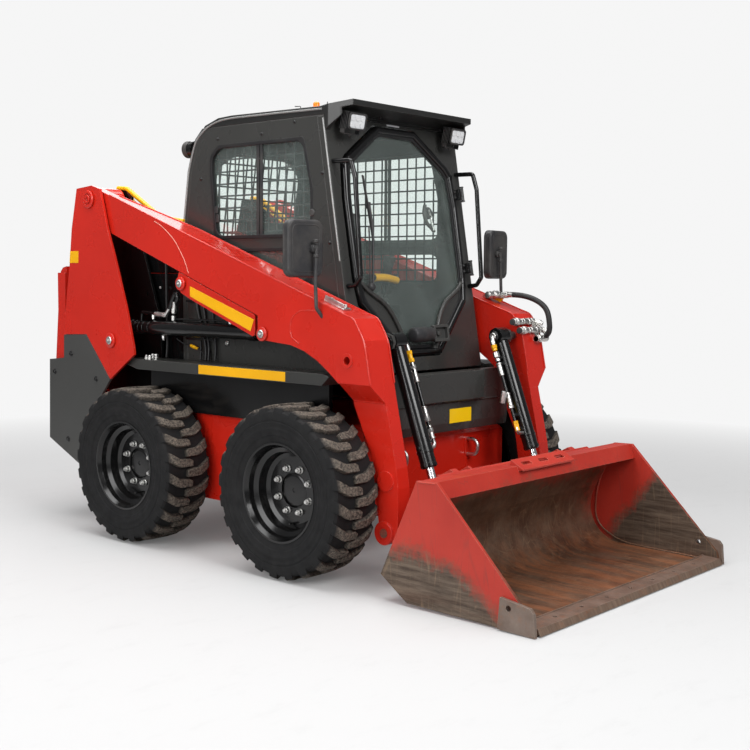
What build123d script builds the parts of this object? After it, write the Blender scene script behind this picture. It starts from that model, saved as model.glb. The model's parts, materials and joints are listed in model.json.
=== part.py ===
from build123d import *
import math
import os

# Skid steer loader, in millimetres.
# +Z is up, -Y is forward and +X is the machine's left side. The outlines below are measured
# from the ground under the front axle; save() moves each piece into the finished frame, whose
# origin is on the ground under the middle of the whole machine.

FRAME_SHIFT_Y = -370.0

# ---- Wheels --------------------------------------------------------------------------------
WHEELBASE = 1103.0
TYRE_R = 386.5
TYRE_W = 264.0
WHEEL_X = 725.0  # middle plane of each tyre
RIM_FLANGE_R = 222.0
BEAD_R = 209.0
DISC_X = 738.0  # outer face of the wheel disc
NUT_CIRCLE_R = 101.6
NUT_COUNT = 8
SHAFT_R = 34.0

# ---- Chassis -------------------------------------------------------------------------------
PLATE = 12.0
TUB_X = 560.0
TUB_Z0, TUB_Z1 = 225.0, 650.0
TUB_Y0, TUB_Y1 = -195.0, 1700.0
TOWER_OUT = 690.0
TOWER_IN = 480.0
TOWER_PLATE = 14.0

# ---- Lift arms -----------------------------------------------------------------------------
ARM_IN, ARM_OUT = 507.0, 667.0
LEG_OUT = 582.0  # outer face of the arm's lower leg, inside the tyre
LEG_TOP = 788.0  # where the leg is welded to the wider arm
ARM_MID = (ARM_IN + ARM_OUT) / 2
ARM_PIVOT = (1574.0, 1723.0)
LIFT_BASE = (1395.0, 1062.0)
LIFT_EYE = (275.0, 1065.0)
KEEPER_AT = (1395.0, 992.0)  # the boss that locks the lift cylinder's pin
TILT_X = 396.0
TILT_TOP = (-290.0, 1043.0)
TILT_EYE = (-530.0, 395.0)
BUCKET_PIVOT = (-395.0, 228.0)

# ---- Cylinders -----------------------------------------------------------------------------
LIFT_BARREL_R, LIFT_ROD_R = 37.5, 21.0
LIFT_BARREL_LENGTH = 1000.0
TILT_BARREL_R, TILT_ROD_R = 36.0, 19.0
TILT_BARREL_LENGTH = 572.0
PIN_R = 20.0
PIN_GAP = 0.4

# ---- Bucket --------------------------------------------------------------------------------
BUCKET_HALF = 775.0
BUCKET_SIDE = 15.0
EDGE_HOLE_PITCH, EDGE_HOLE_Y, EDGE_HOLE_R = 193.0, -1262.0, 9.0
STEP_HALF = 205.0  # half the width of the step plate on the bucket's top edge

# ---- Cab -----------------------------------------------------------------------------------
CAB_X = 478.0
CAB_WALL = 36.0
CAB_FLOOR_Z = 885.0
FRONT_LEAN = 0.169  # forward run of the front face per unit of height
FRONT_TOP = (66.0, 1987.0)  # a point on the front face, (y, z)
ROOF_Z = 2058.0

os.makedirs("parts", exist_ok=True)


# ---- Shapes used throughout ----------------------------------------------------------------
def save(name, *pieces):
    solids = [Pos(0, FRAME_SHIFT_Y, 0) * solid for piece in pieces for solid in piece.solids()]
    export_step(solids[0] if len(solids) == 1 else Compound(solids), f"parts/{name}.step")


def block(x0, x1, y0, y1, z0, z1):
    return Pos((x0 + x1) / 2, (y0 + y1) / 2, (z0 + z1) / 2) * Box(x1 - x0, y1 - y0, z1 - z0)


def side_slab(points, x0, x1):
    """An outline of (y, z) points made solid between two x planes."""
    face = make_face(Polyline(*[(x0, y, z) for y, z in points], close=True))
    return extrude(face, amount=x1 - x0, dir=(1, 0, 0))


def front_slab(points, y0, y1):
    """An outline of (x, z) points made solid between two y planes."""
    face = make_face(Polyline(*[(x, y0, z) for x, z in points], close=True))
    return extrude(face, amount=y1 - y0, dir=(0, 1, 0))


def plan_slab(points, z0, z1):
    """An outline of (x, y) points made solid between two heights."""
    face = make_face(Polyline(*[(x, y, z0) for x, y in points], close=True))
    return extrude(face, amount=z1 - z0, dir=(0, 0, 1))


def bar(start, end, radius):
    """A round bar between two (x, y, z) points."""
    axis = Vector(*end) - Vector(*start)
    place = Plane(origin=start, z_dir=axis)
    return place * Cylinder(radius, axis.length, align=(Align.CENTER, Align.CENTER, Align.MIN))


def cross_bar(at, x0, x1, radius):
    """A round bar along X through the (y, z) point at."""
    return bar((x0, *at), (x1, *at), radius)


def bent_tube(points, radius, bend):
    path = FilletPolyline(*points, radius=bend)
    place = Plane(origin=path @ 0, z_dir=path % 0)
    return sweep(place * Circle(radius), path=path)


def mirrored(shape):
    return mirror(shape, about=Plane.YZ)


def along(start, end, distance):
    """The (y, z) point at a distance from start towards end."""
    length = math.dist(start, end)
    return tuple(a + (b - a) * distance / length for a, b in zip(start, end))


def front_y(z):
    """The y of the cab's front face at a height."""
    return FRONT_TOP[0] + FRONT_LEAN * (z - FRONT_TOP[1])


# ---- Wheels: the left one is built about the X axis, then placed and mirrored --------------
def turned(points):
    """A profile of (x, radius) points turned about the X axis."""
    face = make_face(Polyline(*[(x, 0, r) for x, r in points], close=True))
    return revolve(face, axis=Axis.X)


def tyre():
    half = TYRE_W / 2
    profile = [
        (-105, BEAD_R), (-112, 232), (-half, 285), (-half, 318), (-127, 352), (-112, 374),
        (-60, TYRE_R), (60, TYRE_R),
        (112, 374), (127, 352), (half, 318), (half, 285), (112, 232), (105, BEAD_R),
    ]
    return Pos(WHEEL_X, 0, 0) * turned(profile)


def wheel_rim():
    """The rim with its disc, nuts, hub and axle shaft, which turn as one."""
    outer, inner = WHEEL_X + 117, WHEEL_X - 117
    barrel = [
        (inner, RIM_FLANGE_R), (inner, 205), (WHEEL_X - 90, 198), (WHEEL_X - 60, 176), (DISC_X - 20, 172),
        (DISC_X - 12, 150), (DISC_X - 12, 78), (DISC_X, 78), (DISC_X, 150), (DISC_X + 10, 168),
        (WHEEL_X + 62, 176), (WHEEL_X + 74, 196), (WHEEL_X + 98, 201), (outer, 212), (outer, RIM_FLANGE_R),
        (outer - 6, RIM_FLANGE_R), (outer - 12, BEAD_R), (inner + 12, BEAD_R), (inner + 6, RIM_FLANGE_R),
    ]
    wheel = turned(barrel)
    for i in range(NUT_COUNT):
        turn = math.radians(360 / NUT_COUNT * (i + 0.5))
        y, z = NUT_CIRCLE_R * math.cos(turn), NUT_CIRCLE_R * math.sin(turn)
        wheel += bar((DISC_X - 1, y, z), (DISC_X + 14, y, z), 13)
        wheel += bar((DISC_X + 13, y, z), (DISC_X + 24, y, z), 8)
    wheel += bar((DISC_X - 28, 0, 0), (DISC_X - 11, 0, 0), 135)
    wheel += bar((DISC_X - 12, 0, 0), (DISC_X - 6, 0, 0), 70)
    return wheel + bar((TUB_X + 25, 0, 0), (DISC_X - 27, 0, 0), SHAFT_R)


WHEEL_PIECES = {"tyre": tyre(), "wheel_rim": wheel_rim()}
AXLES = {"front": 0.0, "rear": WHEELBASE}
for end, axle_y in AXLES.items():
    for name, piece in WHEEL_PIECES.items():
        placed = Pos(0, axle_y, TYRE_R) * piece
        save(f"{name}_{end}_left", placed)
        save(f"{name}_{end}_right", mirrored(placed))


def axle_housing(axle_y):
    flange = cross_bar((axle_y, TYRE_R), TUB_X, TUB_X + 16, 92)
    tube = cross_bar((axle_y, TYRE_R), TUB_X + 15, TUB_X + 120, 58)
    bore = cross_bar((axle_y, TYRE_R), TUB_X, TUB_X + 125, SHAFT_R + 0.5)
    return flange + tube - bore


housings = [axle_housing(axle_y) for axle_y in AXLES.values()]
save("axle_housings", *housings, *[mirrored(h) for h in housings])

# ---- Main frame: an open tub with a chain case along each side ------------------------------
tub_side = [
    (TUB_Y1, TUB_Z1), (-45, TUB_Z1), (TUB_Y0, 567), (TUB_Y0, 300), (-120, TUB_Z0), (TUB_Y1, TUB_Z0),
]
outer_plate = side_slab(tub_side, TUB_X - PLATE, TUB_X)
inner_plate = side_slab(tub_side, 400 - PLATE, 400)
case_top = block(400 - PLATE, TUB_X, -45, TUB_Y1, TUB_Z1 - PLATE, TUB_Z1)
floor = block(-TUB_X, TUB_X, -120, TUB_Y1, TUB_Z0, TUB_Z0 + PLATE)
front_profile = [
    (TUB_Y0, 300), (-120, TUB_Z0), (-108, TUB_Z0 + 2), (TUB_Y0 + PLATE, 304), (TUB_Y0 + PLATE, 562),
    (-40, 638), (-45, TUB_Z1), (TUB_Y0, 567),
]
front = side_slab(front_profile, -TUB_X, TUB_X)
main_frame = outer_plate + inner_plate + case_top
main_frame = main_frame + mirrored(main_frame) + floor + front
save("main_frame", main_frame)

# Tie-down loops welded to the front plate
LOOP_X, LOOP_Z, LOOP_R, LOOP_REACH, LOOP_BAR = 270.0, 500.0, 38.0, 62.0, 9.0


def tie_loop(x):
    low, high = LOOP_Z - LOOP_R, LOOP_Z + LOOP_R
    end = TUB_Y0 - LOOP_REACH
    return bent_tube([(x, TUB_Y0, low), (x, end, low), (x, end, high), (x, TUB_Y0, high)], LOOP_BAR, 34)


save("tie_down_loops", tie_loop(LOOP_X), tie_loop(-LOOP_X))

# ---- Towers: an outer and an inner plate with the arm's rear end between them --------------
tower_back_edge = [(1818, 1008), (1789, 1212), (1758, 1382), (1735, 1571)]
tower_top_edge = [(1685, 1783), (1552, 1794), (1483, 1774), (1419, 1564), (1346, 1381)]
outer_low_edge = [(1259, 1140), (1209, 960), (1205, 926), (1408, 789), (1613, 1016)]
inner_low_edge = [(1240, 1100), (1209, TUB_Z1), (1780, TUB_Z1)]
tower_outer_x = TOWER_OUT - TOWER_PLATE
tower_outer = side_slab(tower_top_edge + outer_low_edge + tower_back_edge, tower_outer_x, TOWER_OUT)
tower_inner = side_slab(tower_top_edge + inner_low_edge + tower_back_edge, TOWER_IN, TOWER_IN + TOWER_PLATE)
back_line = [
    (1735, 1571), (1758, 1382), (1789, 1212), (1818, 1008), (1780, 690), (1768, 690), (1806, 1008),
    (1777, 1210), (1746, 1380), (1723, 1568), (1712, 1640), (1724, 1640),
]
tower_back = side_slab(back_line, TOWER_IN, tower_outer_x)
tower_base = block(TOWER_IN, tower_outer_x, 1500, 1775, 690, 704)
arm_pin = cross_bar(ARM_PIVOT, TOWER_IN, TOWER_OUT + 6, PIN_R + 8)
lift_pin = cross_bar(LIFT_BASE, TOWER_IN, tower_outer_x, PIN_R)
keeper_boss = cross_bar(KEEPER_AT, tower_outer_x, TOWER_OUT + 6, 22)
tower = tower_outer + tower_back + tower_base + arm_pin + lift_pin + keeper_boss - tower_inner
save("towers", tower, mirrored(tower))
save("tower_inner_plates", tower_inner, mirrored(tower_inner))

# ---- Rear guards, sill and rails -----------------------------------------------------------
guard_outline = [
    (1958, 867), (1969, 433), (1664, 301), (1496, 687), (1409, 788), (1614, 1014), (1819, 1006),
    (1823, 880),
]
guard = side_slab(guard_outline, tower_outer_x, TOWER_OUT)
save("side_guards", guard, mirrored(guard))

post = block(500, 670, 1832, 1900, 470, 1340)
sill = block(-670, 670, 1832, 1900, 400, 470)
save("rear_frame", post + mirrored(post) + sill)

bumper_side = [(1905, 470), (1965, 470), (1965, 440), (1700, 300), (1700, 330), (1905, 400)]
bumper = side_slab(bumper_side, -670, 670)
HITCH_Y, HITCH_R = 1935.0, 16.0
bumper -= bar((0, HITCH_Y, 500), (0, HITCH_Y, 380), HITCH_R)
save("rear_bumper", bumper)

rail_side = [(1306, 902), (-86, 902), (-131, 892), (-86, 850), (1225, 850), (1306, 870)]
rail_top = side_slab(rail_side, TOWER_IN + 20, 655)
save("side_rails", rail_top, mirrored(rail_top))
skirt = side_slab([(1200, 850), (-66, 850), (-66, TUB_Z1), (1200, TUB_Z1)], TUB_X + 2, 586)
save("side_skirts", skirt, mirrored(skirt))

# ---- Engine, a plain block at its real place -----------------------------------------------
save("engine", block(-360, 360, 1120, 1740, 350, 1180))

# Upright panels at the engine's sides, between the frame and the hood
ENGINE_PANEL_X = 456.0
panel = block(ENGINE_PANEL_X - PLATE, ENGINE_PANEL_X, 1080, 1742, TUB_Z1, 1338)
save("engine_side_panels", panel, mirrored(panel))

# ---- Engine hood and rear door -------------------------------------------------------------
HINGE_PIN_R = 8.0
HOOD_X = 456.0
HOOD_HINGE = (1108.0, 1470.0)
HOOD_PIN_HALF = 440.0
hood_outline = [
    (1112, 1482), (1780, 1432), (1925, 1392), (1925, 1345), (1913, 1345), (1913, 1381), (1778, 1420),
    (1112, 1468),
]
hood_side_outline = [(1112, 1470), (1780, 1422), (1913, 1384), (1913, 1345), (1112, 1345)]
hood_top = side_slab(hood_outline, -HOOD_X, HOOD_X)
hood_side = side_slab(hood_side_outline, HOOD_X - PLATE, HOOD_X)
hood = hood_top + hood_side + mirrored(hood_side)
hood += cross_bar(HOOD_HINGE, -HOOD_PIN_HALF, HOOD_PIN_HALF, HINGE_PIN_R)
save("engine_hood", hood)

DOOR_X = 588.0
DOOR_HINGE = (604.0, 2004.0)  # (x, y) of the upright hinge line
LOUVRE_ROWS, LOUVRE_PITCH, LOUVRE_Z, LOUVRE_X = 9, 62.0, 620.0, 300.0
door_outline = [
    (1940, 1376), (1972, 1369), (1993, 1349), (2005, 1314), (2050, 868), (2050, 480), (1978, 480), (1978, 868),
    (1936, 1290),
]
rear_door = side_slab(door_outline, -DOOR_X, DOOR_X)
hollow = [(1955, 1285), (1990, 1285), (2035, 868), (2035, 505), (1960, 505), (1960, 868), (1930, 1285)]
rear_door -= side_slab(hollow, -DOOR_X + 30, DOOR_X - 30)
for row in range(LOUVRE_ROWS):
    z = LOUVRE_Z + LOUVRE_PITCH * row
    for x in (-LOUVRE_X, LOUVRE_X):
        rear_door -= block(x - 170, x + 170, 1960, 2060, z, z + 26)
for z in (600, 1150):
    rear_door += block(DOOR_X - 2, DOOR_HINGE[0], DOOR_HINGE[1] - 7, DOOR_HINGE[1] + 7, z, z + 90)
    rear_door += bar((*DOOR_HINGE, z - 6), (*DOOR_HINGE, z + 96), HINGE_PIN_R + 2)
save("rear_door", rear_door)

# ---- Lift arms -----------------------------------------------------------------------------
arm_outline = [
    (1552, 1782), (-240, 1163), (-284, 1150), (-343, 1057), (-389, 827), (-458, 515), (-470, 428),
    (-470, 203), (-437, 192), (-371, 218), (-352, 330), (-315, 560), (-269, 656), (-214, 772), (-201, 866),
    (-142, 912), (-71, 960), (11, 999), (95, 1022), (273, 1037), (311, 1062), (311, 1149), (1428, 1549),
    (1510, 1650),
]
arm_inside = [
    (1440, 1731), (-226, 1155), (-270, 1140), (-330, 1050), (-376, 824), (-446, 513), (-458, 427),
    (-458, 260), (-376, 260), (-364, 332), (-327, 562), (-281, 661), (-226, 776), (-213, 872), (-149, 923),
    (-76, 973), (8, 1012), (140, 1037), (140, 960), (330, 960), (330, 1168), (1422, 1560),
]
front_shape = [
    (ARM_IN, 180), (LEG_OUT, 180), (LEG_OUT, LEG_TOP), (ARM_OUT, 870), (ARM_OUT, 1830), (ARM_IN, 1830),
]
inner_shape = [
    (ARM_IN + PLATE, 200), (LEG_OUT - PLATE, 200), (LEG_OUT - PLATE, LEG_TOP + 5), (ARM_OUT - PLATE, 875),
    (ARM_OUT - PLATE, 1820), (ARM_IN + PLATE, 1820),
]
TAPER = [(0, 900), (105, 1480), (105, 1700)]  # (how far the inner face moves out, y) towards the rear


def arm_plan(wall):
    """The arm seen from above, narrower towards its rear end, inside a wall thickness."""
    inner = [(ARM_IN + wall, -500)] + [(ARM_IN + wall + out, y) for out, y in TAPER]
    return inner + [(ARM_OUT - wall, 1700), (ARM_OUT - wall, -500)]


arm = side_slab(arm_outline, ARM_IN, ARM_OUT) & front_slab(front_shape, -480, 1600)
arm &= plan_slab(arm_plan(0), 100, 1900)
arm_hollow = side_slab(arm_inside, ARM_IN + PLATE, ARM_OUT - PLATE) & front_slab(inner_shape, -470, 1500)
arm -= arm_hollow & plan_slab(arm_plan(PLATE), 100, 1900)
arm += cross_bar(ARM_PIVOT, ARM_IN, ARM_OUT, 63)
arm -= cross_bar(ARM_PIVOT, ARM_IN - 1, ARM_OUT + 1, PIN_R + 8 + PIN_GAP)
arm += cross_bar(BUCKET_PIVOT, ARM_IN, LEG_OUT + 6, 52)
arm -= cross_bar(BUCKET_PIVOT, ARM_IN - 1, LEG_OUT + 10, PIN_R + PIN_GAP)
KNEE_HOLE, KNEE_HOLE_R = (-251.0, 969.0), 18.0
arm += cross_bar(KNEE_HOLE, ARM_IN, ARM_OUT + 5, 32)
arm -= cross_bar(KNEE_HOLE, ARM_IN - 1, ARM_OUT + 10, KNEE_HOLE_R)
arm += cross_bar((-400, 455), LEG_OUT - 1, LEG_OUT + 6, 44)
arm += cross_bar(LIFT_EYE, ARM_OUT - PLATE - 12, ARM_OUT + 8, PIN_R)
arm += cross_bar(LIFT_EYE, ARM_IN - 4, ARM_IN + PLATE + 12, PIN_R)
leg_space = block(ARM_IN - 10, ARM_OUT, -500, 0, 150, LEG_TOP)
arm_leg = arm & leg_space
arm -= leg_space
save("lift_arm_left", arm)
save("lift_arm_right", mirrored(arm))
save("arm_leg_left", arm_leg)
save("arm_leg_right", mirrored(arm_leg))

# Cylinder lock: a channel stowed under the right arm, dropped over the rod to hold the arms up
lock_outline = [
    (872, 1345), (892, 1290), (858, 1245), (788, 1215), (345, 1052), (330, 1060), (330, 1148), (340, 1155),
]
lock_cheek = side_slab(lock_outline, ARM_OUT - PLATE, ARM_OUT)
lock_web = side_slab([(872, 1345), (874, 1336), (340, 1145), (340, 1155)], ARM_OUT - 60, ARM_OUT)
lock_pin = cross_bar((851, 1290), ARM_OUT - 1, ARM_OUT + 10, 26)
save("cylinder_lock", mirrored(lock_cheek + lock_web + lock_pin))

# ---- Arm crossmember and the brackets of the tilt cylinders ----------------------------------
cross_outline = [
    (-297, 885), (-225, 885), (-205, 860), (-205, 620), (-228, 600), (-255, 600), (-262, 640), (-262, 735),
    (-297, 750),
]
crossmember = side_slab(cross_outline, -ARM_IN, ARM_IN)
crossmember -= block(-ARM_IN - 1, -265, -300, -263, 740, 890) + block(265, ARM_IN + 1, -300, -263, 740, 890)
save("arm_crossmember", crossmember)

# Brackets welded to the arms' inner faces, which carry the tilt cylinders' upper pins
ear_outline = [
    (-328, 1043), (-318, 1071), (-290, 1081), (-229, 1081), (-229, 1005), (-290, 1005), (-318, 1015),
]
EAR_X = TILT_X + 40
tilt_bracket = side_slab(ear_outline, EAR_X, EAR_X + 14) + block(EAR_X, ARM_IN, -243, -229, 1005, 1081)
tilt_bracket += cross_bar(TILT_TOP, TILT_X - 46, ARM_IN, PIN_R)
save("tilt_brackets", tilt_bracket, mirrored(tilt_bracket))

# ---- Mirrors on the arms -------------------------------------------------------------------
MIRROR_AT = (714.0, -31.0, 1450.0)
MIRROR_W, MIRROR_D, MIRROR_H = 192.0, 42.0, 250.0
mirror_head = Box(MIRROR_W, MIRROR_D, MIRROR_H)
mirror_head = fillet(mirror_head.edges().filter_by(Axis.Y), 38)
mirror_head = Pos(*MIRROR_AT) * Rot(0, 0, 8) * fillet(mirror_head.edges().group_by(Axis.Y)[0], 12)
mirror_neck = bar((683, -40, 1450), (683, -84, 1450), 14)
stalk = bent_tube([(683, -82, 1462), (691, -82, 1300), (691, -88, 1190), (660, -98, 1150)], 8, 30)
mirror_left = mirror_head + mirror_neck + stalk - arm
save("mirrors", mirror_left, mirrored(mirror_left))

# ---- Auxiliary hydraulics on the left arm: a block, three couplers and the hose between ------
COUPLER_R = 14.0
COUPLERS = [
    # (y, z), x of the open end, x of the closed end
    ((-327, 1112), 455, 640), ((-352, 1070), 480, 680), ((-368, 1026), 600, 696),
]
aux = cross_bar((-115, 1243), 588, 612, 19) + block(575, 625, -175, -55, 1226, 1244)
for at, x0, x1 in COUPLERS:
    aux += cross_bar(at, x0, x1, COUPLER_R)
aux += side_slab([(-312, 1125), (-330, 1125), (-372, 1012), (-352, 1012)], 600, 640)
aux -= arm
save("aux_couplers", aux)
hose_points = [
    (612, -176, 1243), (626, -260, 1240), (640, -330, 1220), (650, -392, 1172), (655, -408, 1110),
    (660, -404, 1062), (664, -384, 1040),
]
hose_path = Spline(*hose_points)
hose_start = Plane(origin=hose_path @ 0, z_dir=hose_path % 0)
aux_hose = sweep(hose_start * Circle(14), path=hose_path) - aux - arm
save("aux_hose", aux_hose)


# ---- Hydraulic cylinders: a barrel on its base pin and a rod that slides in it --------------
EYE_GAP = 30.0  # from a pin to where the plain tube starts
BORE_START, GLAND, ROD_START = 60.0, 40.0, 150.0


def beside(base, eye, distance, out):
    """The (y, z) point at a distance along a cylinder and out from its axis."""
    y, z = along(base, eye, distance)
    length = math.dist(base, eye)
    return y + (eye[1] - base[1]) / length * out, z - (eye[0] - base[0]) / length * out


def cylinder(base, eye, x, barrel_r, neck_r, neck, rod_r, length, eye_width):
    """Barrel and rod solids between two (y, z) pins in the plane at x; the neck is the base end."""

    def axis_bar(start, end, radius):
        return bar((x, *along(base, eye, start)), (x, *along(base, eye, end)), radius)

    reach = math.dist(base, eye)
    barrel = axis_bar(EYE_GAP, neck, neck_r) + axis_bar(neck - 1, length, barrel_r)
    barrel -= axis_bar(BORE_START, length - GLAND, rod_r + 6)
    barrel -= axis_bar(BORE_START, length + 5, rod_r + PIN_GAP)
    barrel += cross_bar(base, x - eye_width / 2, x + eye_width / 2, barrel_r + 4)
    barrel -= cross_bar(base, x - 60, x + 60, PIN_R + PIN_GAP)
    rod = axis_bar(ROD_START, reach - PIN_R, rod_r)
    rod += cross_bar(eye, x - eye_width / 2, x + eye_width / 2, barrel_r - 2)
    rod -= cross_bar(eye, x - 60, x + 60, PIN_R + PIN_GAP)
    return barrel, rod


CYLINDERS = {
    # name: base pin, eye pin, x, barrel radius, neck radius, neck end, rod radius, barrel length, eye width
    "lift": (LIFT_BASE, LIFT_EYE, ARM_MID, LIFT_BARREL_R, 31, 235, LIFT_ROD_R, LIFT_BARREL_LENGTH, 60),
    "tilt": (TILT_TOP, TILT_EYE, TILT_X, TILT_BARREL_R, 36, 60, TILT_ROD_R, TILT_BARREL_LENGTH, 72),
}


def lift_lines():
    """The steel line along the lift barrel and the hose that loops up into its port."""
    steel = [(380, 25), (380, 48), (807, 48), (807, 25)]
    hose = [(120, 25), (125, 78), (310, 66), (365, 128), (392, 172), (418, 160), (384, 104), (381, 30)]
    lines = ((steel, 5, 10), (hose, 9, 12))

    def placed(points):
        return [(ARM_MID, *beside(LIFT_BASE, LIFT_EYE, *p)) for p in points]

    return [bent_tube(placed(points), radius, bend) for points, radius, bend in lines]


def tilt_line():
    """The hose that runs beside the tilt barrel from its base port to its gland port."""
    axis_points = [(112, 30), (112, 72), (452, 72), (482, 30)]
    points = [(TILT_X - side, *along(TILT_TOP, TILT_EYE, distance)) for distance, side in axis_points]
    return bent_tube(points, 8, 14)


LINES = {"lift": lift_lines(), "tilt": [tilt_line()]}
for name, sizes in CYLINDERS.items():
    barrel, rod = cylinder(*sizes)
    for line in LINES[name]:
        barrel += line - bar((sizes[2], *along(*sizes[:2], 50)), (sizes[2], *along(*sizes[:2], 900)), 27)
    save(f"{name}_barrel_left", barrel)
    save(f"{name}_barrel_right", mirrored(barrel))
    save(f"{name}_rod_left", rod)
    save(f"{name}_rod_right", mirrored(rod))

# ---- Bucket --------------------------------------------------------------------------------
back_low, back_high = (-543.0, 112.0), (-729.0, 518.0)
shell_lines = Polyline(
    (0, -1300, 0), (0, -684, 15), (0, *back_low), (0, *back_high), (0, -818, 523), (0, -846, 455),
    (0, -834, 450), (0, -808, 508), (0, -737, 502), (0, -640, 300),
)
shell_arc = ThreePointArc((0, -640, 300), (0, -632, 110), (0, -780, 27))
shell_close = Polyline((0, -780, 27), (0, -1300, 14), (0, -1300, 0))
shell_face = make_face(shell_lines + shell_arc + shell_close)
inner_half = BUCKET_HALF - BUCKET_SIDE
shell = extrude(Pos(-inner_half, 0, 0) * shell_face, amount=2 * inner_half, dir=(1, 0, 0))
step_top = [(-850, 504), (-850, 512), (-785, 547), (-785, 539)]
step_rib = [(-846, 512), (-785, 543), (-779, 522), (-818, 520), (-826, 500)]
step = side_slab(step_top, -STEP_HALF, STEP_HALF)
for x in (-STEP_HALF, -STEP_HALF / 2, STEP_HALF / 2 - 10, STEP_HALF - 10):
    step += side_slab(step_rib, x, x + 10)
for x in (-130, 0, 130):
    slot = Pos(x, -817, 530) * Rot(28, 0, 0) * extrude(SlotOverall(70, 24), amount=30, both=True)
    step -= slot
shell += step - shell
EDGE_HOLES = [EDGE_HOLE_PITCH * i for i in range(-3, 4)]


def edge_hole(x):
    return bar((x, EDGE_HOLE_Y, -5), (x, EDGE_HOLE_Y, 60), EDGE_HOLE_R)


for x in EDGE_HOLES:
    shell -= edge_hole(x)
save("bucket_shell", shell)

side_outline = [(-1300, 2), (-1285, 60), (-830, 523), (-729, 520), back_low, (-684, 15)]
SIDE_HOLE = (-1192.0, 94.0)
SIDE_HOLE_R = 12.0
bucket_side = side_slab(side_outline, inner_half, BUCKET_HALF)
bucket_side -= cross_bar(SIDE_HOLE, BUCKET_HALF - 20, BUCKET_HALF + 20, SIDE_HOLE_R)
save("bucket_sides", bucket_side, mirrored(bucket_side))

edge_profile = [(-1318, 4), (-1304, 31), (-1222, 34), (-1222, 16.5), (-1300, 14.5)]
edge_top = side_slab(edge_profile, -inner_half, inner_half)
for x in EDGE_HOLES:
    edge_top -= edge_hole(x)
cutter_outline = [(-1312, 2), (-1304, 92), (-1288, 110), (-1152, 130), (-1142, 6)]
cutter = side_slab(cutter_outline, BUCKET_HALF, BUCKET_HALF + 16)
cutter -= cross_bar(SIDE_HOLE, BUCKET_HALF - 20, BUCKET_HALF + 20, SIDE_HOLE_R)
save("cutting_edge", edge_top, cutter, mirrored(cutter))


# ---- Coupler: carries the bucket on the arms' pins ------------------------------------------
def behind_bucket(up, out):
    """A (y, z) point up the bucket's back and out behind it."""
    length = math.dist(back_low, back_high)
    t = ((back_high[0] - back_low[0]) / length, (back_high[1] - back_low[1]) / length)
    return back_low[0] + t[0] * up + t[1] * out, back_low[1] + t[1] * up - t[0] * out


COUPLER_HALF = 583.0
end_strip = [behind_bucket(*p) for p in ((5, 3), (425, 3), (425, 20), (5, 20))]
low_beam = [behind_bucket(*p) for p in ((5, 3), (110, 3), (110, 40), (5, 40))]
high_beam = [behind_bucket(*p) for p in ((383, 3), (425, 3), (425, 40), (383, 40))]
coupler = side_slab(low_beam, -COUPLER_HALF, COUPLER_HALF)
coupler += side_slab(high_beam, -COUPLER_HALF, COUPLER_HALF)
ear = [
    behind_bucket(5, 3), behind_bucket(425, 3), behind_bucket(425, 60), (-520, 440), (-500, 395),
    (-345, 270), (-345, 228), (-360, 193), (-395, 178), behind_bucket(5, 40),
]
for side in (-1, 1):
    for near, far in ((TILT_X - 56, TILT_X - 42), (TILT_X + 42, TILT_X + 80)):
        x0, x1 = sorted((side * near, side * far))
        coupler += side_slab(ear, x0, x1)
    x0, x1 = sorted((side * (TILT_X + 60), side * (LEG_OUT + 8)))
    coupler += cross_bar(BUCKET_PIVOT, x0, x1, PIN_R)
    x0, x1 = sorted((side * (COUPLER_HALF - 20), side * COUPLER_HALF))
    coupler += side_slab(end_strip, x0, x1)
save("bucket_coupler", coupler)

# ---- Cab -----------------------------------------------------------------------------------
cab_outline = [
    (front_y(CAB_FLOOR_Z), CAB_FLOOR_Z), (front_y(ROOF_Z), ROOF_Z), (915, ROOF_Z), (969, 2010), (999, 1945),
    (1030, 1852), (1070, 1584), (1070, CAB_FLOOR_Z),
]
window_outline = [
    (150, 1300), (148, 1735), (205, 1964), (796, 1965), (853, 1917), (854, 1842), (820, 1512), (810, 1300),
]
side_glass = side_slab(window_outline, CAB_X - 22, CAB_X - 16)

cab_rear_outline = [
    (915, ROOF_Z), (969, 2010), (999, 1945), (1030, 1852), (1070, 1584), (1070, CAB_FLOOR_Z),
    (1038, CAB_FLOOR_Z), (1038, 1584), (1000, 1850), (970, 1935), (940, 2005), (882, ROOF_Z),
]
cab_rear = side_slab(cab_rear_outline, -CAB_X, CAB_X)
rear_window = front_slab(
    [(-300, 1500), (-310, 1880), (-200, 1960), (200, 1960), (310, 1880), (300, 1500)], 900, 1100,
)
cab_rear -= rear_window
save("cab_rear", cab_rear)

# Bent rails from the tops of the towers to the back of the cab
TOWER_RAIL_X, TOWER_RAIL_R = 484.0, 13.0
tower_rail_path = [(1600, 1793), (1521, 1787), (1240, 1628), (1052, 1602)]
tower_rail = bent_tube([(TOWER_RAIL_X, y, z) for y, z in tower_rail_path], TOWER_RAIL_R, 30)
strut_path = [(1500, 1740), (1262, 1603)]
tower_rail += bar(*[(TOWER_RAIL_X, y, z) for y, z in strut_path], TOWER_RAIL_R / 2)
for y, z in strut_path:
    tower_rail += bar((TOWER_RAIL_X, y, z), (TOWER_RAIL_X, y - 18, z + 31), TOWER_RAIL_R / 2)
tower_rail = tower_rail - tower_inner - cab_rear
save("tower_rails", tower_rail, mirrored(tower_rail))
rear_glass = side_slab([(1055, 1500), (985, 1960), (991, 1960), (1061, 1500)], -320, 320) & rear_window
save("cab_windows", side_glass, mirrored(side_glass), rear_glass)

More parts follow.
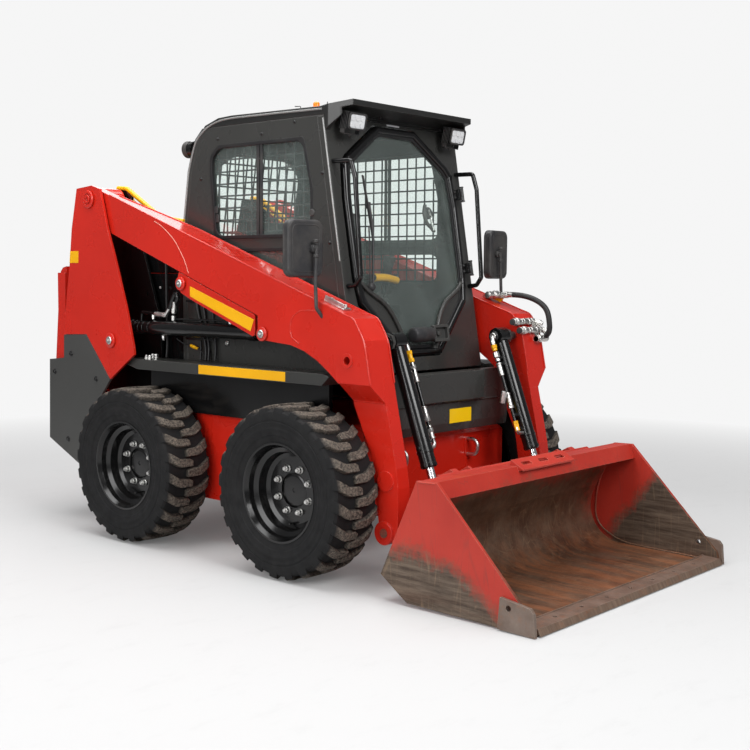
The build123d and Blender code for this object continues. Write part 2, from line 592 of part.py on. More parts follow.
roof_outline = [
    (front_y(ROOF_Z), ROOF_Z + 1), (front_y(ROOF_Z) + 7, 2097), (697, 2105), (795, 2100), (895, 2070),
    (905, ROOF_Z + 1),
]
roof = side_slab(roof_outline, -CAB_X, CAB_X)
visor_lid = side_slab([(100, 2070), (-64, 2094), (-64, 2120), (100, 2097)], -CAB_X, CAB_X)
visor_cheek_outline = [
    (65, 1992), (-64, 2096), (-64, 2104), (90, 2080), (76, ROOF_Z + 1), (75, ROOF_Z - 1),
]
visor_cheek = side_slab(visor_cheek_outline, CAB_X - 24, CAB_X)
visor_plan = [(-CAB_X, 110), (-CAB_X, 50), (-436, -64), (436, -64), (CAB_X, 50), (CAB_X, 110)]
visor = (visor_lid + visor_cheek + mirrored(visor_cheek)) & plan_slab(visor_plan, 1900, 2200)
save("cab_roof", roof + visor)


def front_plane():
    """X across, Y up the cab's leaning front face, Z forwards out of it."""
    return Plane(origin=(0, front_y(CAB_FLOOR_Z), CAB_FLOOR_Z), x_dir=(1, 0, 0), z_dir=(0, -1, FRONT_LEAN))


def up_front(z):
    """Distance up the front face to a height."""
    return (z - CAB_FLOOR_Z) * math.hypot(1, FRONT_LEAN)


def front_panel(points, low, high):
    """An outline of (x, z) points on the front face, made solid from low to high out of it."""
    face = make_face(Polyline(*[(x, up_front(z), 0) for x, z in points], close=True))
    return front_plane() * extrude(Pos(0, 0, low) * face, amount=high - low, dir=(0, 0, 1))


def both_sides(points):
    """Closes an outline given down its left half."""
    return points + [(-x, z) for x, z in reversed(points)]


door_edge = both_sides(
    [(140, 2036), (365, 1880), (400, 1840), (415, 1680), (412, 1317), (392, 1201), (150, 958)]
)
door_hole = both_sides(
    [(146, 2043), (372, 1886), (407, 1844), (422, 1682), (419, 1315), (399, 1197), (154, 950)]
)
glass_edge = both_sides(
    [(128, 2002), (340, 1856), (366, 1826), (381, 1678), (378, 1322), (362, 1218), (138, 992)]
)
front_face = both_sides([(CAB_X, ROOF_Z - 1), (CAB_X, CAB_FLOOR_Z)])
front_frame = front_panel(front_face, -38, 0) - front_panel(door_hole, -60, 20)
save("cab_front", front_frame)
cab_side = side_slab(cab_outline, CAB_X - CAB_WALL, CAB_X) - side_slab(window_outline, 400, 480)
cab_side = cab_side - front_frame - side_slab(cab_rear_outline, 400, CAB_X)
save("cab_sides", cab_side, mirrored(cab_side))

# The door's hinge line, as x and distance out of the front face; its pins are round bars on it
DOOR_PIN = (431.0, 45.0)
DOOR_ROUNDING = 14.0
door_ring = make_face(Polyline(*[(x, up_front(z), 0) for x, z in door_edge], close=True))
door_ring -= make_face(Polyline(*[(x, up_front(z), 0) for x, z in glass_edge], close=True))
door_ring = extrude(Pos(0, 0, -20) * door_ring, amount=42, dir=(0, 0, 1))
door_ring = fillet(door_ring.edges().group_by(Axis.Z)[-1], DOOR_ROUNDING)
door_frame = front_plane() * door_ring
for z in (1370, 1740):
    knuckle = Pos(DOOR_PIN[0], up_front(z), DOOR_PIN[1])
    arm_depth = DOOR_PIN[1] - 12
    door_frame += front_plane() * knuckle * Pos(-13, 0, -arm_depth / 2) * Box(26, 50, arm_depth)
    door_frame += front_plane() * knuckle * Rot(90, 0, 0) * Cylinder(HINGE_PIN_R, 70)
save("door_frame", door_frame)
save("door_glass", front_panel(glass_edge, -4, 2))

floor_x = CAB_X - CAB_WALL - 1
save("cab_floor", block(-floor_x, floor_x, -60, 1036, CAB_FLOOR_Z, CAB_FLOOR_Z + PLATE))

# ---- Cab inside: seat and controls ---------------------------------------------------------
seat_z = CAB_FLOOR_Z + PLATE
seat_base = block(-215, 215, 480, 900, seat_z, 1120)
seat_base += block(-215, 215, 895, 926, 1060, 1120)
seat_base += block(-225, 225, 925, 960, 1080, 1500)
save("seat_base", seat_base)
save("seat_cushion", block(-235, 235, 430, 880, 1121, 1215))
save("seat_backrest", block(-225, 225, 850, 924, 1222, 1640))
console = block(262, 400, 360, 900, seat_z, 1180)
console += bar((320, 420, 1179), (310, 380, 1330), 14)
console += bar((309, 378, 1328), (305, 360, 1400), 24)
save("controls", console, mirrored(console))

# ---- Lights and grab rails -----------------------------------------------------------------
WORK_LIGHT_AT, WORK_LIGHT_TILT = (371.0, -2.0, 2034.0), 12.0
light = Pos(*WORK_LIGHT_AT) * Rot(WORK_LIGHT_TILT, 0, 0) * Box(116, 55, 78)
rear_light = bar((448, 1000, 1966), (448, 1062, 1966), 40) - side_slab(cab_outline, 400, CAB_X)
save("work_lights", light, mirrored(light), rear_light, mirrored(rear_light))
BEACON = (-432.0, 168.0)
save("beacon", bar((*BEACON, 2098.6), (*BEACON, 2128), 17))
RAIL_X = 452.0
rail_path = [
    (front_y(1850) + 12, 1850), (-68, 1848), (-94, 1770), (-131, 1330), (-102, 1291),
    (front_y(1284) + 12, 1284),
]
rail_points = [(RAIL_X, y, z) for y, z in rail_path]
grab_rail = bent_tube(rail_points, 11, 18) - front_frame
save("grab_rails", grab_rail, mirrored(grab_rail))
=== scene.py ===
import json
import math

import bmesh
import bpy
from mathutils import Euler, Matrix, Vector


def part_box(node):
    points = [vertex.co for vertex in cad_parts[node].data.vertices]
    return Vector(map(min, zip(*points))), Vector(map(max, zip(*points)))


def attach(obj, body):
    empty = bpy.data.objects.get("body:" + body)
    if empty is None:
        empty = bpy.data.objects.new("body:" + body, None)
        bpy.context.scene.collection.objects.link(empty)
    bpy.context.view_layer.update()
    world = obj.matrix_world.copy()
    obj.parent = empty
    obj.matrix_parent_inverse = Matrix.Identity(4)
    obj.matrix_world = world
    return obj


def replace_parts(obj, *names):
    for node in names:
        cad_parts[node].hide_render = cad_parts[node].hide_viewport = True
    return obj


# Skid steer loader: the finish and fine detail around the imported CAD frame.
# Sizes are in millimetres, measured from the ground under the front axle, as in the CAD source;
# at() turns them into the frame's metres. +X is the machine's left side and -Y its front.

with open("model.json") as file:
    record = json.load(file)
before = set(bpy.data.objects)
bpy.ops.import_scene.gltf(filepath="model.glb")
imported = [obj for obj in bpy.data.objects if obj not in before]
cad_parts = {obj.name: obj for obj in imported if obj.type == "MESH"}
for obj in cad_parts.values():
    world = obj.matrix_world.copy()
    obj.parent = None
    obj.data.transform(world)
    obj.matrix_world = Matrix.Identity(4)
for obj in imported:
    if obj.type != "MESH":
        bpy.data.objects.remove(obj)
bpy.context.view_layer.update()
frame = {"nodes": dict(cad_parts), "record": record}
NODES = frame["nodes"]
SIDES = {"left": 1, "right": -1}
ENDS = ("front", "rear")
MM = 0.001


def middle(node):
    """The middle of a CAD node's box."""
    low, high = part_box(node)
    return (low + high) / 2


FRONT_AXLE_Y = middle("tyre_front_left").y


def at(x, y, z):
    """A point in millimetres from the ground under the front axle, in the frame's metres."""
    return Vector((x * MM, FRONT_AXLE_Y + y * MM, z * MM))


def row_at(x, points):
    """Points (y, z) in one plane across the machine."""
    return [at(x, y, z) for y, z in points]


def spots(points, way=1):
    """Points (x, y, z), with x turned to the side that way gives."""
    return [at(way * x, y, z) for x, y, z in points]


def mm(x, y, z):
    """A shift in millimetres, as a vector in metres."""
    return Vector((x * MM, y * MM, z * MM))


def rectangle(left, low, right, high):
    """A rectangle's corners, taken round from (left, low)."""
    return [(left, low), (right, low), (right, high), (left, high)]


# ---- Materials ----
DUST = (0.33, 0.29, 0.24)
RUST = (0.25, 0.085, 0.03)
STEEL = (0.30, 0.27, 0.24)
METAL_EDGE, MOULDED_EDGE = 0.6, 1.5  # how far the light rounds off an edge, in millimetres


def shade(colour, factor):
    """A colour made lighter or darker, each channel kept at 1 or below."""
    return tuple(min(1.0, channel * factor) for channel in colour)


class Finish:
    """One node material: adds nodes, joins them and ends in a Principled shader."""

    def __init__(self, name, **settings):
        self.material = bpy.data.materials.new(name)
        self.material.use_nodes = True
        self.tree = self.material.node_tree
        self.shader = self.tree.nodes["Principled BSDF"]
        for socket, value in settings.items():
            self.set(socket.replace("_", " "), value)

    def set(self, socket, value):
        """Gives a value or another node's output to a socket of the Principled shader."""
        self.join(value, self.shader.inputs[socket])

    def join(self, value, socket):
        if isinstance(value, bpy.types.NodeSocket):
            self.tree.links.new(value, socket)
        elif isinstance(value, tuple) and socket.type == "RGBA":
            socket.default_value = (*value[:3], 1.0)
        else:
            socket.default_value = value

    def add(self, kind, inputs=None, output=0, **attributes):
        """Makes a node, fills its inputs and returns one of its outputs."""
        node = self.tree.nodes.new("ShaderNode" + kind)
        for name, value in attributes.items():
            setattr(node, name, value)
        for name, value in (inputs or {}).items():
            self.join(value, node.inputs[name])
        return node.outputs[output]

    def place(self, stretch=(1, 1, 1), turn=(0, 0, 0)):
        """Object coordinates, stretched and turned."""
        spot = self.add("TexCoord", output="Object")
        return self.add("Mapping", {"Vector": spot, "Scale": stretch, "Rotation": turn})

    def noise(self, scale, detail=3.0, rough=0.55, stretch=(1, 1, 1), turn=(0, 0, 0)):
        inputs = {"Vector": self.place(stretch, turn), "Scale": scale, "Detail": detail, "Roughness": rough}
        return self.add("TexNoise", inputs)

    def cloud(self, noise, *limits):
        """Noise with its settings in a tuple, spread between limits as band() does."""
        return self.band(self.noise(*noise), *limits)

    def band(self, value, low, high, out_low=0.0, out_high=1.0):
        """A value's run from low to high, spread over an output range and clamped."""
        names = ("Value", "From Min", "From Max", "To Min", "To Max")
        return self.add("MapRange", dict(zip(names, (value, low, high, out_low, out_high))))

    def maths(self, operation, first, second=0.0):
        return self.add("Math", {0: first, 1: second}, operation=operation, use_clamp=False)

    def plus(self, first, second):
        return self.maths("ADD", first, second)

    def minus(self, first, second):
        return self.maths("SUBTRACT", first, second)

    def most(self, first, second):
        return self.maths("MAXIMUM", first, second)

    def size_of(self, value):
        return self.maths("ABSOLUTE", value)

    def times(self, *values):
        product = values[0]
        for value in values[1:]:
            product = self.maths("MULTIPLY", product, value)
        return product

    def mix(self, factor, first, second):
        node = self.tree.nodes.new("ShaderNodeMix")
        node.data_type = "RGBA"
        for index, value in ((0, factor), (6, first), (7, second)):
            self.join(value, node.inputs[index])
        return node.outputs[2]

    def part_of(self, vector, axis):
        return self.add("SeparateXYZ", {"Vector": vector}, output=axis)

    def where(self, axis):
        """The place along one axis, in metres."""
        return self.part_of(self.add("TexCoord", output="Object"), axis)

    def facing(self, axis):
        """How far a face looks along one axis, from -1 to 1."""
        return self.part_of(self.add("TexCoord", output="Normal"), axis)

    def edges(self, radius):
        """1 along sharp edges, 0 on flat faces, with the rounded normal that a real edge has."""
        rounded = self.add("Bevel", {"Radius": radius}, samples=4)
        flat = self.add("NewGeometry", output="Normal")
        dot = self.add("VectorMath", {0: rounded, 1: flat}, output="Value", operation="DOT_PRODUCT")
        return rounded, self.band(dot, 0.995, 0.8)

    def bump(self, height, distance, normal=None, strength=1.0):
        inputs = {"Height": height, "Distance": distance, "Strength": strength}
        if normal is not None:
            inputs["Normal"] = normal
        return self.add("Bump", inputs)

    def scratches(self, scale, turn, width=0.03, amount=0.5):
        """Thin broken lines: a stretched cell pattern kept only near its borders."""
        inputs = {"Vector": self.place((1, 1, 0.06), turn), "Scale": scale, "Randomness": 1.0}
        cells = self.add("TexVoronoi", inputs, feature="DISTANCE_TO_EDGE")
        lines = self.band(cells, width, 0.0)
        return self.times(lines, self.cloud((scale * 0.35, 2), 0.62 - 0.25 * amount, 0.72))


def paint(name, colour, roughness=0.35, coat=0.0, dust=0.2, chips=0.25, edge=2.5, worn=None, edge_highlight=0.25,
          shine=0.35):
    """Sprayed paint: slight tone changes, orange peel, dust on top faces, light chips on edges, and a painted
    highlight that lightens every edge.
    """
    finish = Finish(name, Coat_Weight=coat, Coat_Roughness=0.06, Specular_IOR_Level=shine)
    tone = finish.cloud((2.2, 4), 0.3, 0.7)
    base = finish.mix(tone, shade(colour, 0.93), shade(colour, 1.06))
    grime = finish.cloud((11, 7, 0.7), 0.42, 0.75)
    top = finish.band(finish.facing("Z"), 0.3, 0.95)
    low = finish.band(finish.where("Z"), 0.55, 0.0)
    dusty = finish.most(top, finish.times(low, 0.7))
    base = finish.mix(finish.times(dusty, grime, dust), base, DUST)
    rounded, edges = finish.edges(edge * MM)
    # painted highlight: every edge is lightened towards a paler shade of the colour, in place of light caught
    # on rounded edges
    base = finish.mix(finish.times(edges, edge_highlight), base, shade(colour, 2.4))
    flakes = finish.cloud((70, 5, 0.7), 0.56 - 0.1 * chips, 0.62)
    chipped = finish.times(edges, flakes, min(1.0, chips * 2))
    base = finish.mix(chipped, base, worn or shade(STEEL, 1.3))
    finish.set("Base Color", base)
    finish.set("Roughness", finish.cloud((6, 3, 0.5), 0.3, 0.7, roughness - 0.01, roughness + 0.06))
    finish.set("Normal", finish.bump(finish.noise(140, 2), 0.00004, rounded, 0.08))
    return finish


def metal(name, colour, roughness=0.25, grime=0.4):
    """Plated or turned metal, stained in its hollows."""
    finish = Finish(name, Metallic=1.0)
    stain = finish.cloud((45, 6, 0.65), 0.45, 0.75)
    base = finish.mix(finish.times(stain, grime), colour, shade(colour, 0.35))
    rounded, _ = finish.edges(METAL_EDGE * MM)
    finish.set("Base Color", base)
    finish.set("Roughness", finish.cloud((60, 4), 0.3, 0.75, roughness, roughness + 0.2))
    finish.set("Normal", finish.bump(finish.noise(500, 2), 0.00008, rounded, 0.4))
    return finish


def moulded(name, colour, roughness=0.6, grain=900, depth=0.00012, dust=0.1):
    """Moulded plastic or rubber with a fine grain and a little dust."""
    finish = Finish(name, Specular_IOR_Level=0.35)
    cloud = finish.cloud((7, 5, 0.65), 0.4, 0.75)
    finish.set("Base Color", finish.mix(finish.times(cloud, dust), colour, DUST))
    finish.set("Roughness", finish.cloud((30, 4), 0.3, 0.8, roughness - 0.08, roughness + 0.1))
    rounded, _ = finish.edges(MOULDED_EDGE * MM)
    finish.set("Normal", finish.bump(finish.noise(grain, 2), depth, rounded, 0.7))
    return finish


def glass(name, tint, haze):
    """Clear tinted pane: lets the view through and mirrors more where it is seen side on."""
    finish = Finish(name, Roughness=0.03, IOR=1.5)
    smear = finish.cloud((6, 5, 0.6), 0.35, 0.8)
    finish.set("Base Color", finish.mix(smear, haze, shade(haze, 1.8)))
    finish.set("Roughness", finish.band(smear, 0.0, 1.0, 0.02, 0.06))
    grazing = finish.add("LayerWeight", {"Blend": 0.3}, output="Fresnel")
    clear = finish.add("BsdfTransparent", {"Color": finish.mix(grazing, tint, shade(tint, 0.8))})
    pane = finish.add("AddShader", {0: clear, 1: finish.shader.outputs[0]})
    finish.join(pane, finish.tree.nodes["Material Output"].inputs["Surface"])
    return finish


def tyre_rubber():
    """Black rubber; the dust on the lug tops follows the piece's own dusty attribute."""
    finish = Finish("tyre_rubber", Specular_IOR_Level=0.2)
    dusty = finish.add("Attribute", output="Fac", attribute_name="dusty")
    mottled = finish.cloud((95, 8, 0.75), 0.38, 0.66)
    cloud = finish.cloud((7, 4), 0.35, 0.7)
    base = finish.mix(finish.times(cloud, 0.25), (0.008, 0.008, 0.0085), (0.019, 0.018, 0.0175))
    base = finish.mix(finish.times(dusty, mottled), base, (0.185, 0.155, 0.125))
    finish.set("Base Color", base)
    finish.set("Roughness", finish.cloud((20, 4), 0.3, 0.7, 0.62, 0.88))
    grain = finish.plus(finish.noise(260, 5, 0.7), finish.times(dusty, finish.noise(60, 4), 2.0))
    finish.set("Normal", finish.bump(grain, 0.0006, None, 0.6))
    return finish


WEAR_START = 0.66  # metres ahead of the front axle where the wear on the side plates begins


def bucket_paint():
    """Faded red, rubbed down to bare and rusty steel inside the bowl and low on the side plates."""
    finish = Finish("bucket_red", Specular_IOR_Level=0.35)
    tone = finish.cloud((3, 5), 0.3, 0.7)
    red = finish.mix(tone, (0.33, 0.018, 0.010), (0.42, 0.032, 0.018))
    ragged = finish.plus(finish.noise(5, 7, 0.7), finish.times(finish.noise(40, 6, 0.8), 0.35))
    ragged = finish.minus(ragged, 0.68)
    across = finish.where("X")
    forward = finish.minus(FRONT_AXLE_Y, finish.where("Y"))
    height = finish.where("Z")
    # the bowl: faces that look forwards or up, under the top channel
    tilt = finish.minus(finish.times(finish.facing("Z"), 0.6), finish.facing("Y"))
    looks_in = finish.band(tilt, 0.15, 0.35)
    below_lip = finish.band(finish.plus(height, finish.times(ragged, 0.25)), 0.46, 0.36)
    sideways = finish.plus(finish.size_of(across), finish.times(ragged, 0.5))
    toward_end = finish.band(sideways, 0.80, 0.62)
    high = finish.band(height, 0.1, 0.3)
    spared = finish.minus(1.0, finish.times(finish.minus(1.0, toward_end), high))
    bowl = finish.times(looks_in, below_lip, spared)
    # the side plates: outside low at the back, inside low towards the edge
    plate = finish.band(finish.size_of(finish.facing("X")), 0.7, 0.9)
    outside = finish.band(finish.times(across, finish.facing("X")), 0.0, 0.01)
    ahead = finish.minus(forward, WEAR_START)
    outer_curve = finish.maths("POWER", finish.most(ahead, 0.0), 2.0)
    outer_line = finish.minus(0.23, finish.times(outer_curve, 0.85))
    inner_line = finish.times(ahead, 1.25)
    line = finish.add("Mix", {0: outside, 2: inner_line, 3: outer_line})
    gap = finish.minus(line, finish.plus(height, finish.times(ragged, 0.22)))
    sides = finish.times(plate, finish.band(gap, -0.05, 0.04))
    worn = finish.most(bowl, sides)
    streaks = finish.cloud((14, 7, 0.75, (1, 0.12, 1), (0, 0, 0.35)), 0.42, 0.7)
    dark = finish.mix(finish.cloud((7, 6, 0.7), 0.35, 0.7), (0.072, 0.034, 0.020), (0.150, 0.092, 0.060))
    floor = finish.band(height, 0.10, 0.03)
    rust_amount = finish.times(streaks, finish.plus(finish.times(floor, 0.75), 0.15))
    rusty = finish.mix(rust_amount, dark, (0.33, 0.115, 0.045))
    drawn = finish.cloud((40, 6, 0.75, (1, 0.08, 1)), 0.4, 0.62)
    scraped = finish.mix(drawn, (0.050, 0.037, 0.028), (0.155, 0.120, 0.090))
    metal_tone = finish.mix(finish.times(sides, 0.85), rusty, scraped)
    broad = finish.scratches(22, (1.42, 0.12, 0.2), 0.03, 0.9)
    marks = finish.most(broad, finish.scratches(34, (1.0, 0.4, -0.5), 0.016, 0.4))
    bare = finish.mix(finish.times(marks, 0.35), metal_tone, (0.40, 0.27, 0.16))
    red = finish.mix(finish.times(marks, 0.45), red, (0.09, 0.03, 0.025))
    rounded, edges = finish.edges(0.003)
    red = finish.mix(finish.times(edges, 0.5), red, (0.62, 0.25, 0.18))
    finish.set("Base Color", finish.mix(worn, red, bare))
    finish.set("Metallic", finish.times(worn, 0.35))
    finish.set("Roughness", finish.cloud((20, 6, 0.7), 0.3, 0.8, 0.36, 0.62))
    grain = finish.plus(finish.noise(120, 6, 0.7), finish.times(marks, -0.8))
    finish.set("Normal", finish.bump(grain, 0.0005, rounded, 0.45))
    return finish


def worn_edge():
    """The cutting edge: brown rolled steel with a ground bevel that catches light."""
    finish = Finish("worn_steel")
    forward = finish.minus(FRONT_AXLE_Y, finish.where("Y"))
    blotch = finish.cloud((9, 7, 0.7), 0.35, 0.7)
    brown = finish.mix(blotch, (0.115, 0.070, 0.050), (0.19, 0.125, 0.095))
    grind = finish.cloud((55, 5, 0.7, (1, 0.03, 0.03)), 0.35, 0.7)
    bright = finish.mix(grind, (0.10, 0.062, 0.042), (0.20, 0.135, 0.095))
    bevel = finish.band(forward, 1.302, 1.306)
    base = finish.mix(bevel, brown, bright)
    cheek = finish.band(finish.size_of(finish.where("X")), 0.773, 0.776)
    cheek_amount = finish.times(cheek, 0.8)
    cheek_tone = finish.mix(blotch, (0.12, 0.085, 0.065), (0.19, 0.15, 0.125))
    base = finish.mix(cheek_amount, base, cheek_tone)
    rust = finish.cloud((24, 7, 0.75), 0.52, 0.7)
    base = finish.mix(finish.times(rust, 0.45), base, RUST)
    rounded, edges = finish.edges(0.0025)
    finish.set("Base Color", finish.mix(finish.times(edges, 0.6), base, (0.34, 0.28, 0.23)))
    finish.set("Metallic", 0.25)
    finish.set("Roughness", finish.cloud((35, 5), 0.3, 0.8, 0.38, 0.65))
    finish.set("Normal", finish.bump(finish.plus(grind, finish.noise(150, 5)), 0.0004, rounded, 0.5))
    return finish


RED = (0.48, 0.014, 0.006)
MATERIALS = {
    "red_paint": paint("red_paint", RED, 0.26, 0.35, 0.05, 0.35, worn=(0.75, 0.30, 0.22)),
    "bucket_red": bucket_paint(),
    # charcoal paint: its last number is a strong painted highlight along every edge
    "charcoal_paint": paint("charcoal_paint", (0.034, 0.034, 0.032), 0.26, 0.2, 0.05, 0.10, 7.0,
                            (0.16, 0.15, 0.14), 0.7),
    "grey_paint": paint("grey_paint", (0.046, 0.046, 0.044), 0.42, 0.0, 0.08, 0.12, worn=(0.22, 0.21, 0.2)),
    "black_steel": paint("black_steel", (0.004, 0.004, 0.0042), 0.17, 0.1, 0.02, 0.08,
                         worn=(0.12, 0.12, 0.12), shine=0.4),
    "yellow_paint": paint("yellow_paint", (0.75, 0.37, 0.0005), 0.35, 0.2, 0.08, 0.2, worn=(0.5, 0.4, 0.3)),
    "worn_steel": worn_edge(),
    "chrome": metal("chrome", (0.80, 0.80, 0.82), 0.08, 0.15),
    "zinc": metal("zinc", (0.66, 0.65, 0.63), 0.26, 0.45),
    "tyre": tyre_rubber(),
    "rubber": moulded("rubber", (0.009, 0.009, 0.010), 0.5, dust=0.03),
    "glass": glass("glass", (0.975, 1.0, 0.99), (0.020, 0.024, 0.0225)),
    "mirror_glass": metal("mirror_glass", (0.85, 0.86, 0.88), 0.02, 0.05),
    "lamp_lens": moulded("lamp_lens", (0.62, 0.63, 0.64), 0.15, 200, 0.0002, 0.03),
    "amber_lens": moulded("amber_lens", (0.85, 0.20, 0.015), 0.15, 200, 0.0002, 0.05),
    "black_plastic": moulded("black_plastic", (0.022, 0.022, 0.024), 0.48, 700, 0.0002, 0.12),
    "seat_vinyl": moulded("seat_vinyl", (0.018, 0.018, 0.019), 0.5, 420, 0.0004, 0.1),
    "guard": paint("guard_steel", (0.020, 0.021, 0.021), 0.42, 0.0, 0.05, 0.1, worn=(0.12, 0.12, 0.12)),
    "dark_red": paint("dark_red", (0.26, 0.018, 0.014), 0.6, 0.0, 0.3, 0.3, worn=(0.3, 0.1, 0.08)),
    # light grey for the drip rail and front pillar tube: a painted highlight along the cab's dark edges
    "painted_highlight_trim": paint("painted_highlight_trim", (0.19, 0.19, 0.185), 0.25, 0.3, 0.02, 0.05, shine=0.5),
    # roof paint: its last number is a painted highlight along every edge
    "roof_paint": paint("roof_paint", (0.016, 0.016, 0.0155), 0.28, 0.1, 0.05, 0.10, 7.0,
                        (0.16, 0.15, 0.14), 0.5),
    # a brighter copy of the yellow paint: painted light on the front-facing square, where the front lamp
    # falls
    "painted_light_yellow": paint("painted_light_yellow", (0.95, 0.60, 0.003), 0.35, 0.2, 0.05, 0.1),
    # a paler red than the arm paint, for the bead along the arm's top edge
    "pale_red": paint("pale_red", (0.72, 0.30, 0.24), 0.4, 0.0, 0.1, 0.1),
    "tail_red": moulded("tail_red", (0.5, 0.01, 0.01), 0.15, 200, 0.0002, 0.05),
    "engine_grey": paint("engine_grey", (0.055, 0.055, 0.055), 0.6, 0.0, 0.4, 0.1),
}

for row in frame["record"]["subparts"]:
    mesh = NODES[row["node"]].data
    mesh.materials.clear()
    slot = "roof_paint" if row["node"] == "cab_roof" else row["material_slot"]
    mesh.materials.append(MATERIALS[slot].material)


# ---- Mesh building ----
BEVEL_SEGMENTS, BEVEL_ANGLE = 2, 40.0  # edges sharper than this many degrees are bevelled


class Piece:
    """Gathers shapes into one mesh. Points are in the frame's metres, sizes in millimetres."""

    def __init__(self):
        self.points, self.faces, self.dusty = [], [], []

    def shape(self, points, faces):
        """Adds points and the faces that join them, numbered from the first of these points."""
        start = len(self.points)
        self.points += points
        self.faces += [[start + i for i in face] for face in faces]
        self.dusty += [0.0] * len(points)

    def rings(self, rings, closed=False, capped=True):
        """Joins rings of equal length into a skin, round or open along its length."""
        count, turn = len(rings), len(rings[0])
        faces = []
        for i in range(count if closed else count - 1):
            near, far = i * turn, (i + 1) % count * turn
            faces += [[near + j, near + (j + 1) % turn, far + (j + 1) % turn, far + j] for j in range(turn)]
        if capped and not closed:
            faces += [list(range(turn))[::-1], [(count - 1) * turn + j for j in range(turn)]]
        self.shape([point for ring in rings for point in ring], faces)

    def turned(self, start, direction, profile, sides=24, capped=True):
        """A profile of (distance, radius) turned about an axis from start."""
        axis = Vector(direction).normalized()
        turn = axis.to_track_quat("Z", "Y")
        rings = []
        for distance, radius in profile:
            centre = start + axis * distance * MM
            rings.append([centre + turn @ Vector((math.cos(a), math.sin(a), 0)) * radius * MM
                          for a in (2 * math.pi * i / sides for i in range(sides))])
        self.rings(rings, capped=capped)

    def rod(self, start, end, radius, sides=12, chamfer=0.0):
        """A straight bar between two points, with cut corners at its ends if chamfer is given."""
        length, cut = (end - start).length / MM, radius - chamfer
        profile = [(0, radius), (length, radius)]
        if chamfer:
            profile = [(0, cut), (chamfer, radius), (length - chamfer, radius), (length, cut)]
        self.turned(start, end - start, profile, sides)

    def bent(self, corners, bend, radius, sides=12, steps=6):
        """A tube along corners that are rounded off by bend."""
        self.tube(rounded_route(corners, bend, steps), radius, sides)

    def tube(self, route, radius, sides=12, closed=False):
        """A round section swept along points."""
        count = len(route)
        ahead = [route[(i + 1) % count] if closed or i < count - 1 else route[i] for i in range(count)]
        behind = [route[i - 1] if closed or i else route[i] for i in range(count)]
        side = None
        rings = []
        for point, a, b in zip(route, behind, ahead):
            along = (b - a).normalized()
            if side is None:
                side = along.orthogonal().normalized()
            side = (side - along * side.dot(along)).normalized()
            up = along.cross(side)
            rings.append([point + (side * math.cos(t) + up * math.sin(t)) * radius * MM
                          for t in (2 * math.pi * i / sides for i in range(sides))])
        if closed:
            self.rings(rings, capped=False)
            first, last = len(self.points) - len(rings) * sides, len(self.points) - sides
            near = rings[-1][0]
            shift = min(range(sides), key=lambda k: (rings[0][k] - near).length)
            self.faces += [[last + j, last + (j + 1) % sides, first + (j + 1 + shift) % sides,
                            first + (j + shift) % sides] for j in range(sides)]
        else:
            self.rings(rings)

    def slab(self, outline, push):
        """A flat outline pushed along a vector into a plate."""
        count = len(outline)
        far = [point + push for point in outline]
        sides = [[i, (i + 1) % count, count + (i + 1) % count, count + i] for i in range(count)]
        self.shape(list(outline) + far, sides + [list(range(count))[::-1], list(range(count, 2 * count))])

    def box(self, centre, size, turn=(0, 0, 0)):
        """A block about its centre, turned by degrees about X, Y and Z."""
        half = Vector(size) * MM / 2
        spin = Euler([math.radians(a) for a in turn]).to_matrix()
        corners = [centre + spin @ Vector((sx * half.x, sy * half.y, -half.z))
                   for sx, sy in rectangle(-1, -1, 1, 1)]
        self.slab(corners, spin @ Vector((0, 0, 2 * half.z)))

    def bolt(self, centre, direction, across=18.0, height=8.0, washer=True):
        """A hexagon head on its washer."""
        axis = Vector(direction).normalized()
        if washer:
            self.turned(centre, axis, [(-1, across * 0.72), (1.5, across * 0.72), (2, across * 0.66)], 20)
        head = [(1, across * 0.56), (height - 1.5, across * 0.56), (height, across * 0.46)]
        self.turned(centre, axis, head, 6)

    def finish(self, name, body, slot, bevel=0.0, smooth=35.0, material=None):
        """Makes the named object, which rides on a body and takes the slot's material or its own."""
        mesh = bpy.data.meshes.new(name)
        mesh.from_pydata([tuple(p) for p in self.points], [], self.faces)
        mesh.validate()
        values = mesh.attributes.new("dusty", "FLOAT", "POINT")
        values.data.foreach_set("value", self.dusty)
        obj = bpy.data.objects.new(name, mesh)
        bpy.context.scene.collection.objects.link(obj)
        bpy.context.view_layer.objects.active = obj
        work = bmesh.new()
        work.from_mesh(mesh)
        bmesh.ops.recalc_face_normals(work, faces=work.faces)
        work.to_mesh(mesh)
        work.free()
        if bevel:
            cut = obj.modifiers.new("Bevel", "BEVEL")
            cut.width, cut.segments = bevel * MM, BEVEL_SEGMENTS
            cut.limit_method, cut.angle_limit = "ANGLE", math.radians(BEVEL_ANGLE)
        mesh.polygons.foreach_set("use_smooth", [True] * len(mesh.polygons))
        mesh.set_sharp_from_angle(angle=math.radians(smooth))
        mesh.materials.append((material or MATERIALS[slot]).material)
        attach(obj, body)
        return obj


def rounded_route(corners, radius, steps=6, closed=False):
    """Corners joined by straight runs and round bends, as points."""
    count, route = len(corners), []
    for i, corner in enumerate(corners):
        if not closed and i in (0, count - 1):
            route.append(corner)
            continue
        a, b = corners[i - 1] - corner, corners[(i + 1) % count] - corner
        reach = min(radius * MM, a.length * 0.45, b.length * 0.45)
        start, end = corner + a.normalized() * reach, corner + b.normalized() * reach
        for k in range(steps + 1):
            t = k / steps
            route.append(start * (1 - t) ** 2 + corner * 2 * t * (1 - t) + end * t ** 2)
    return route


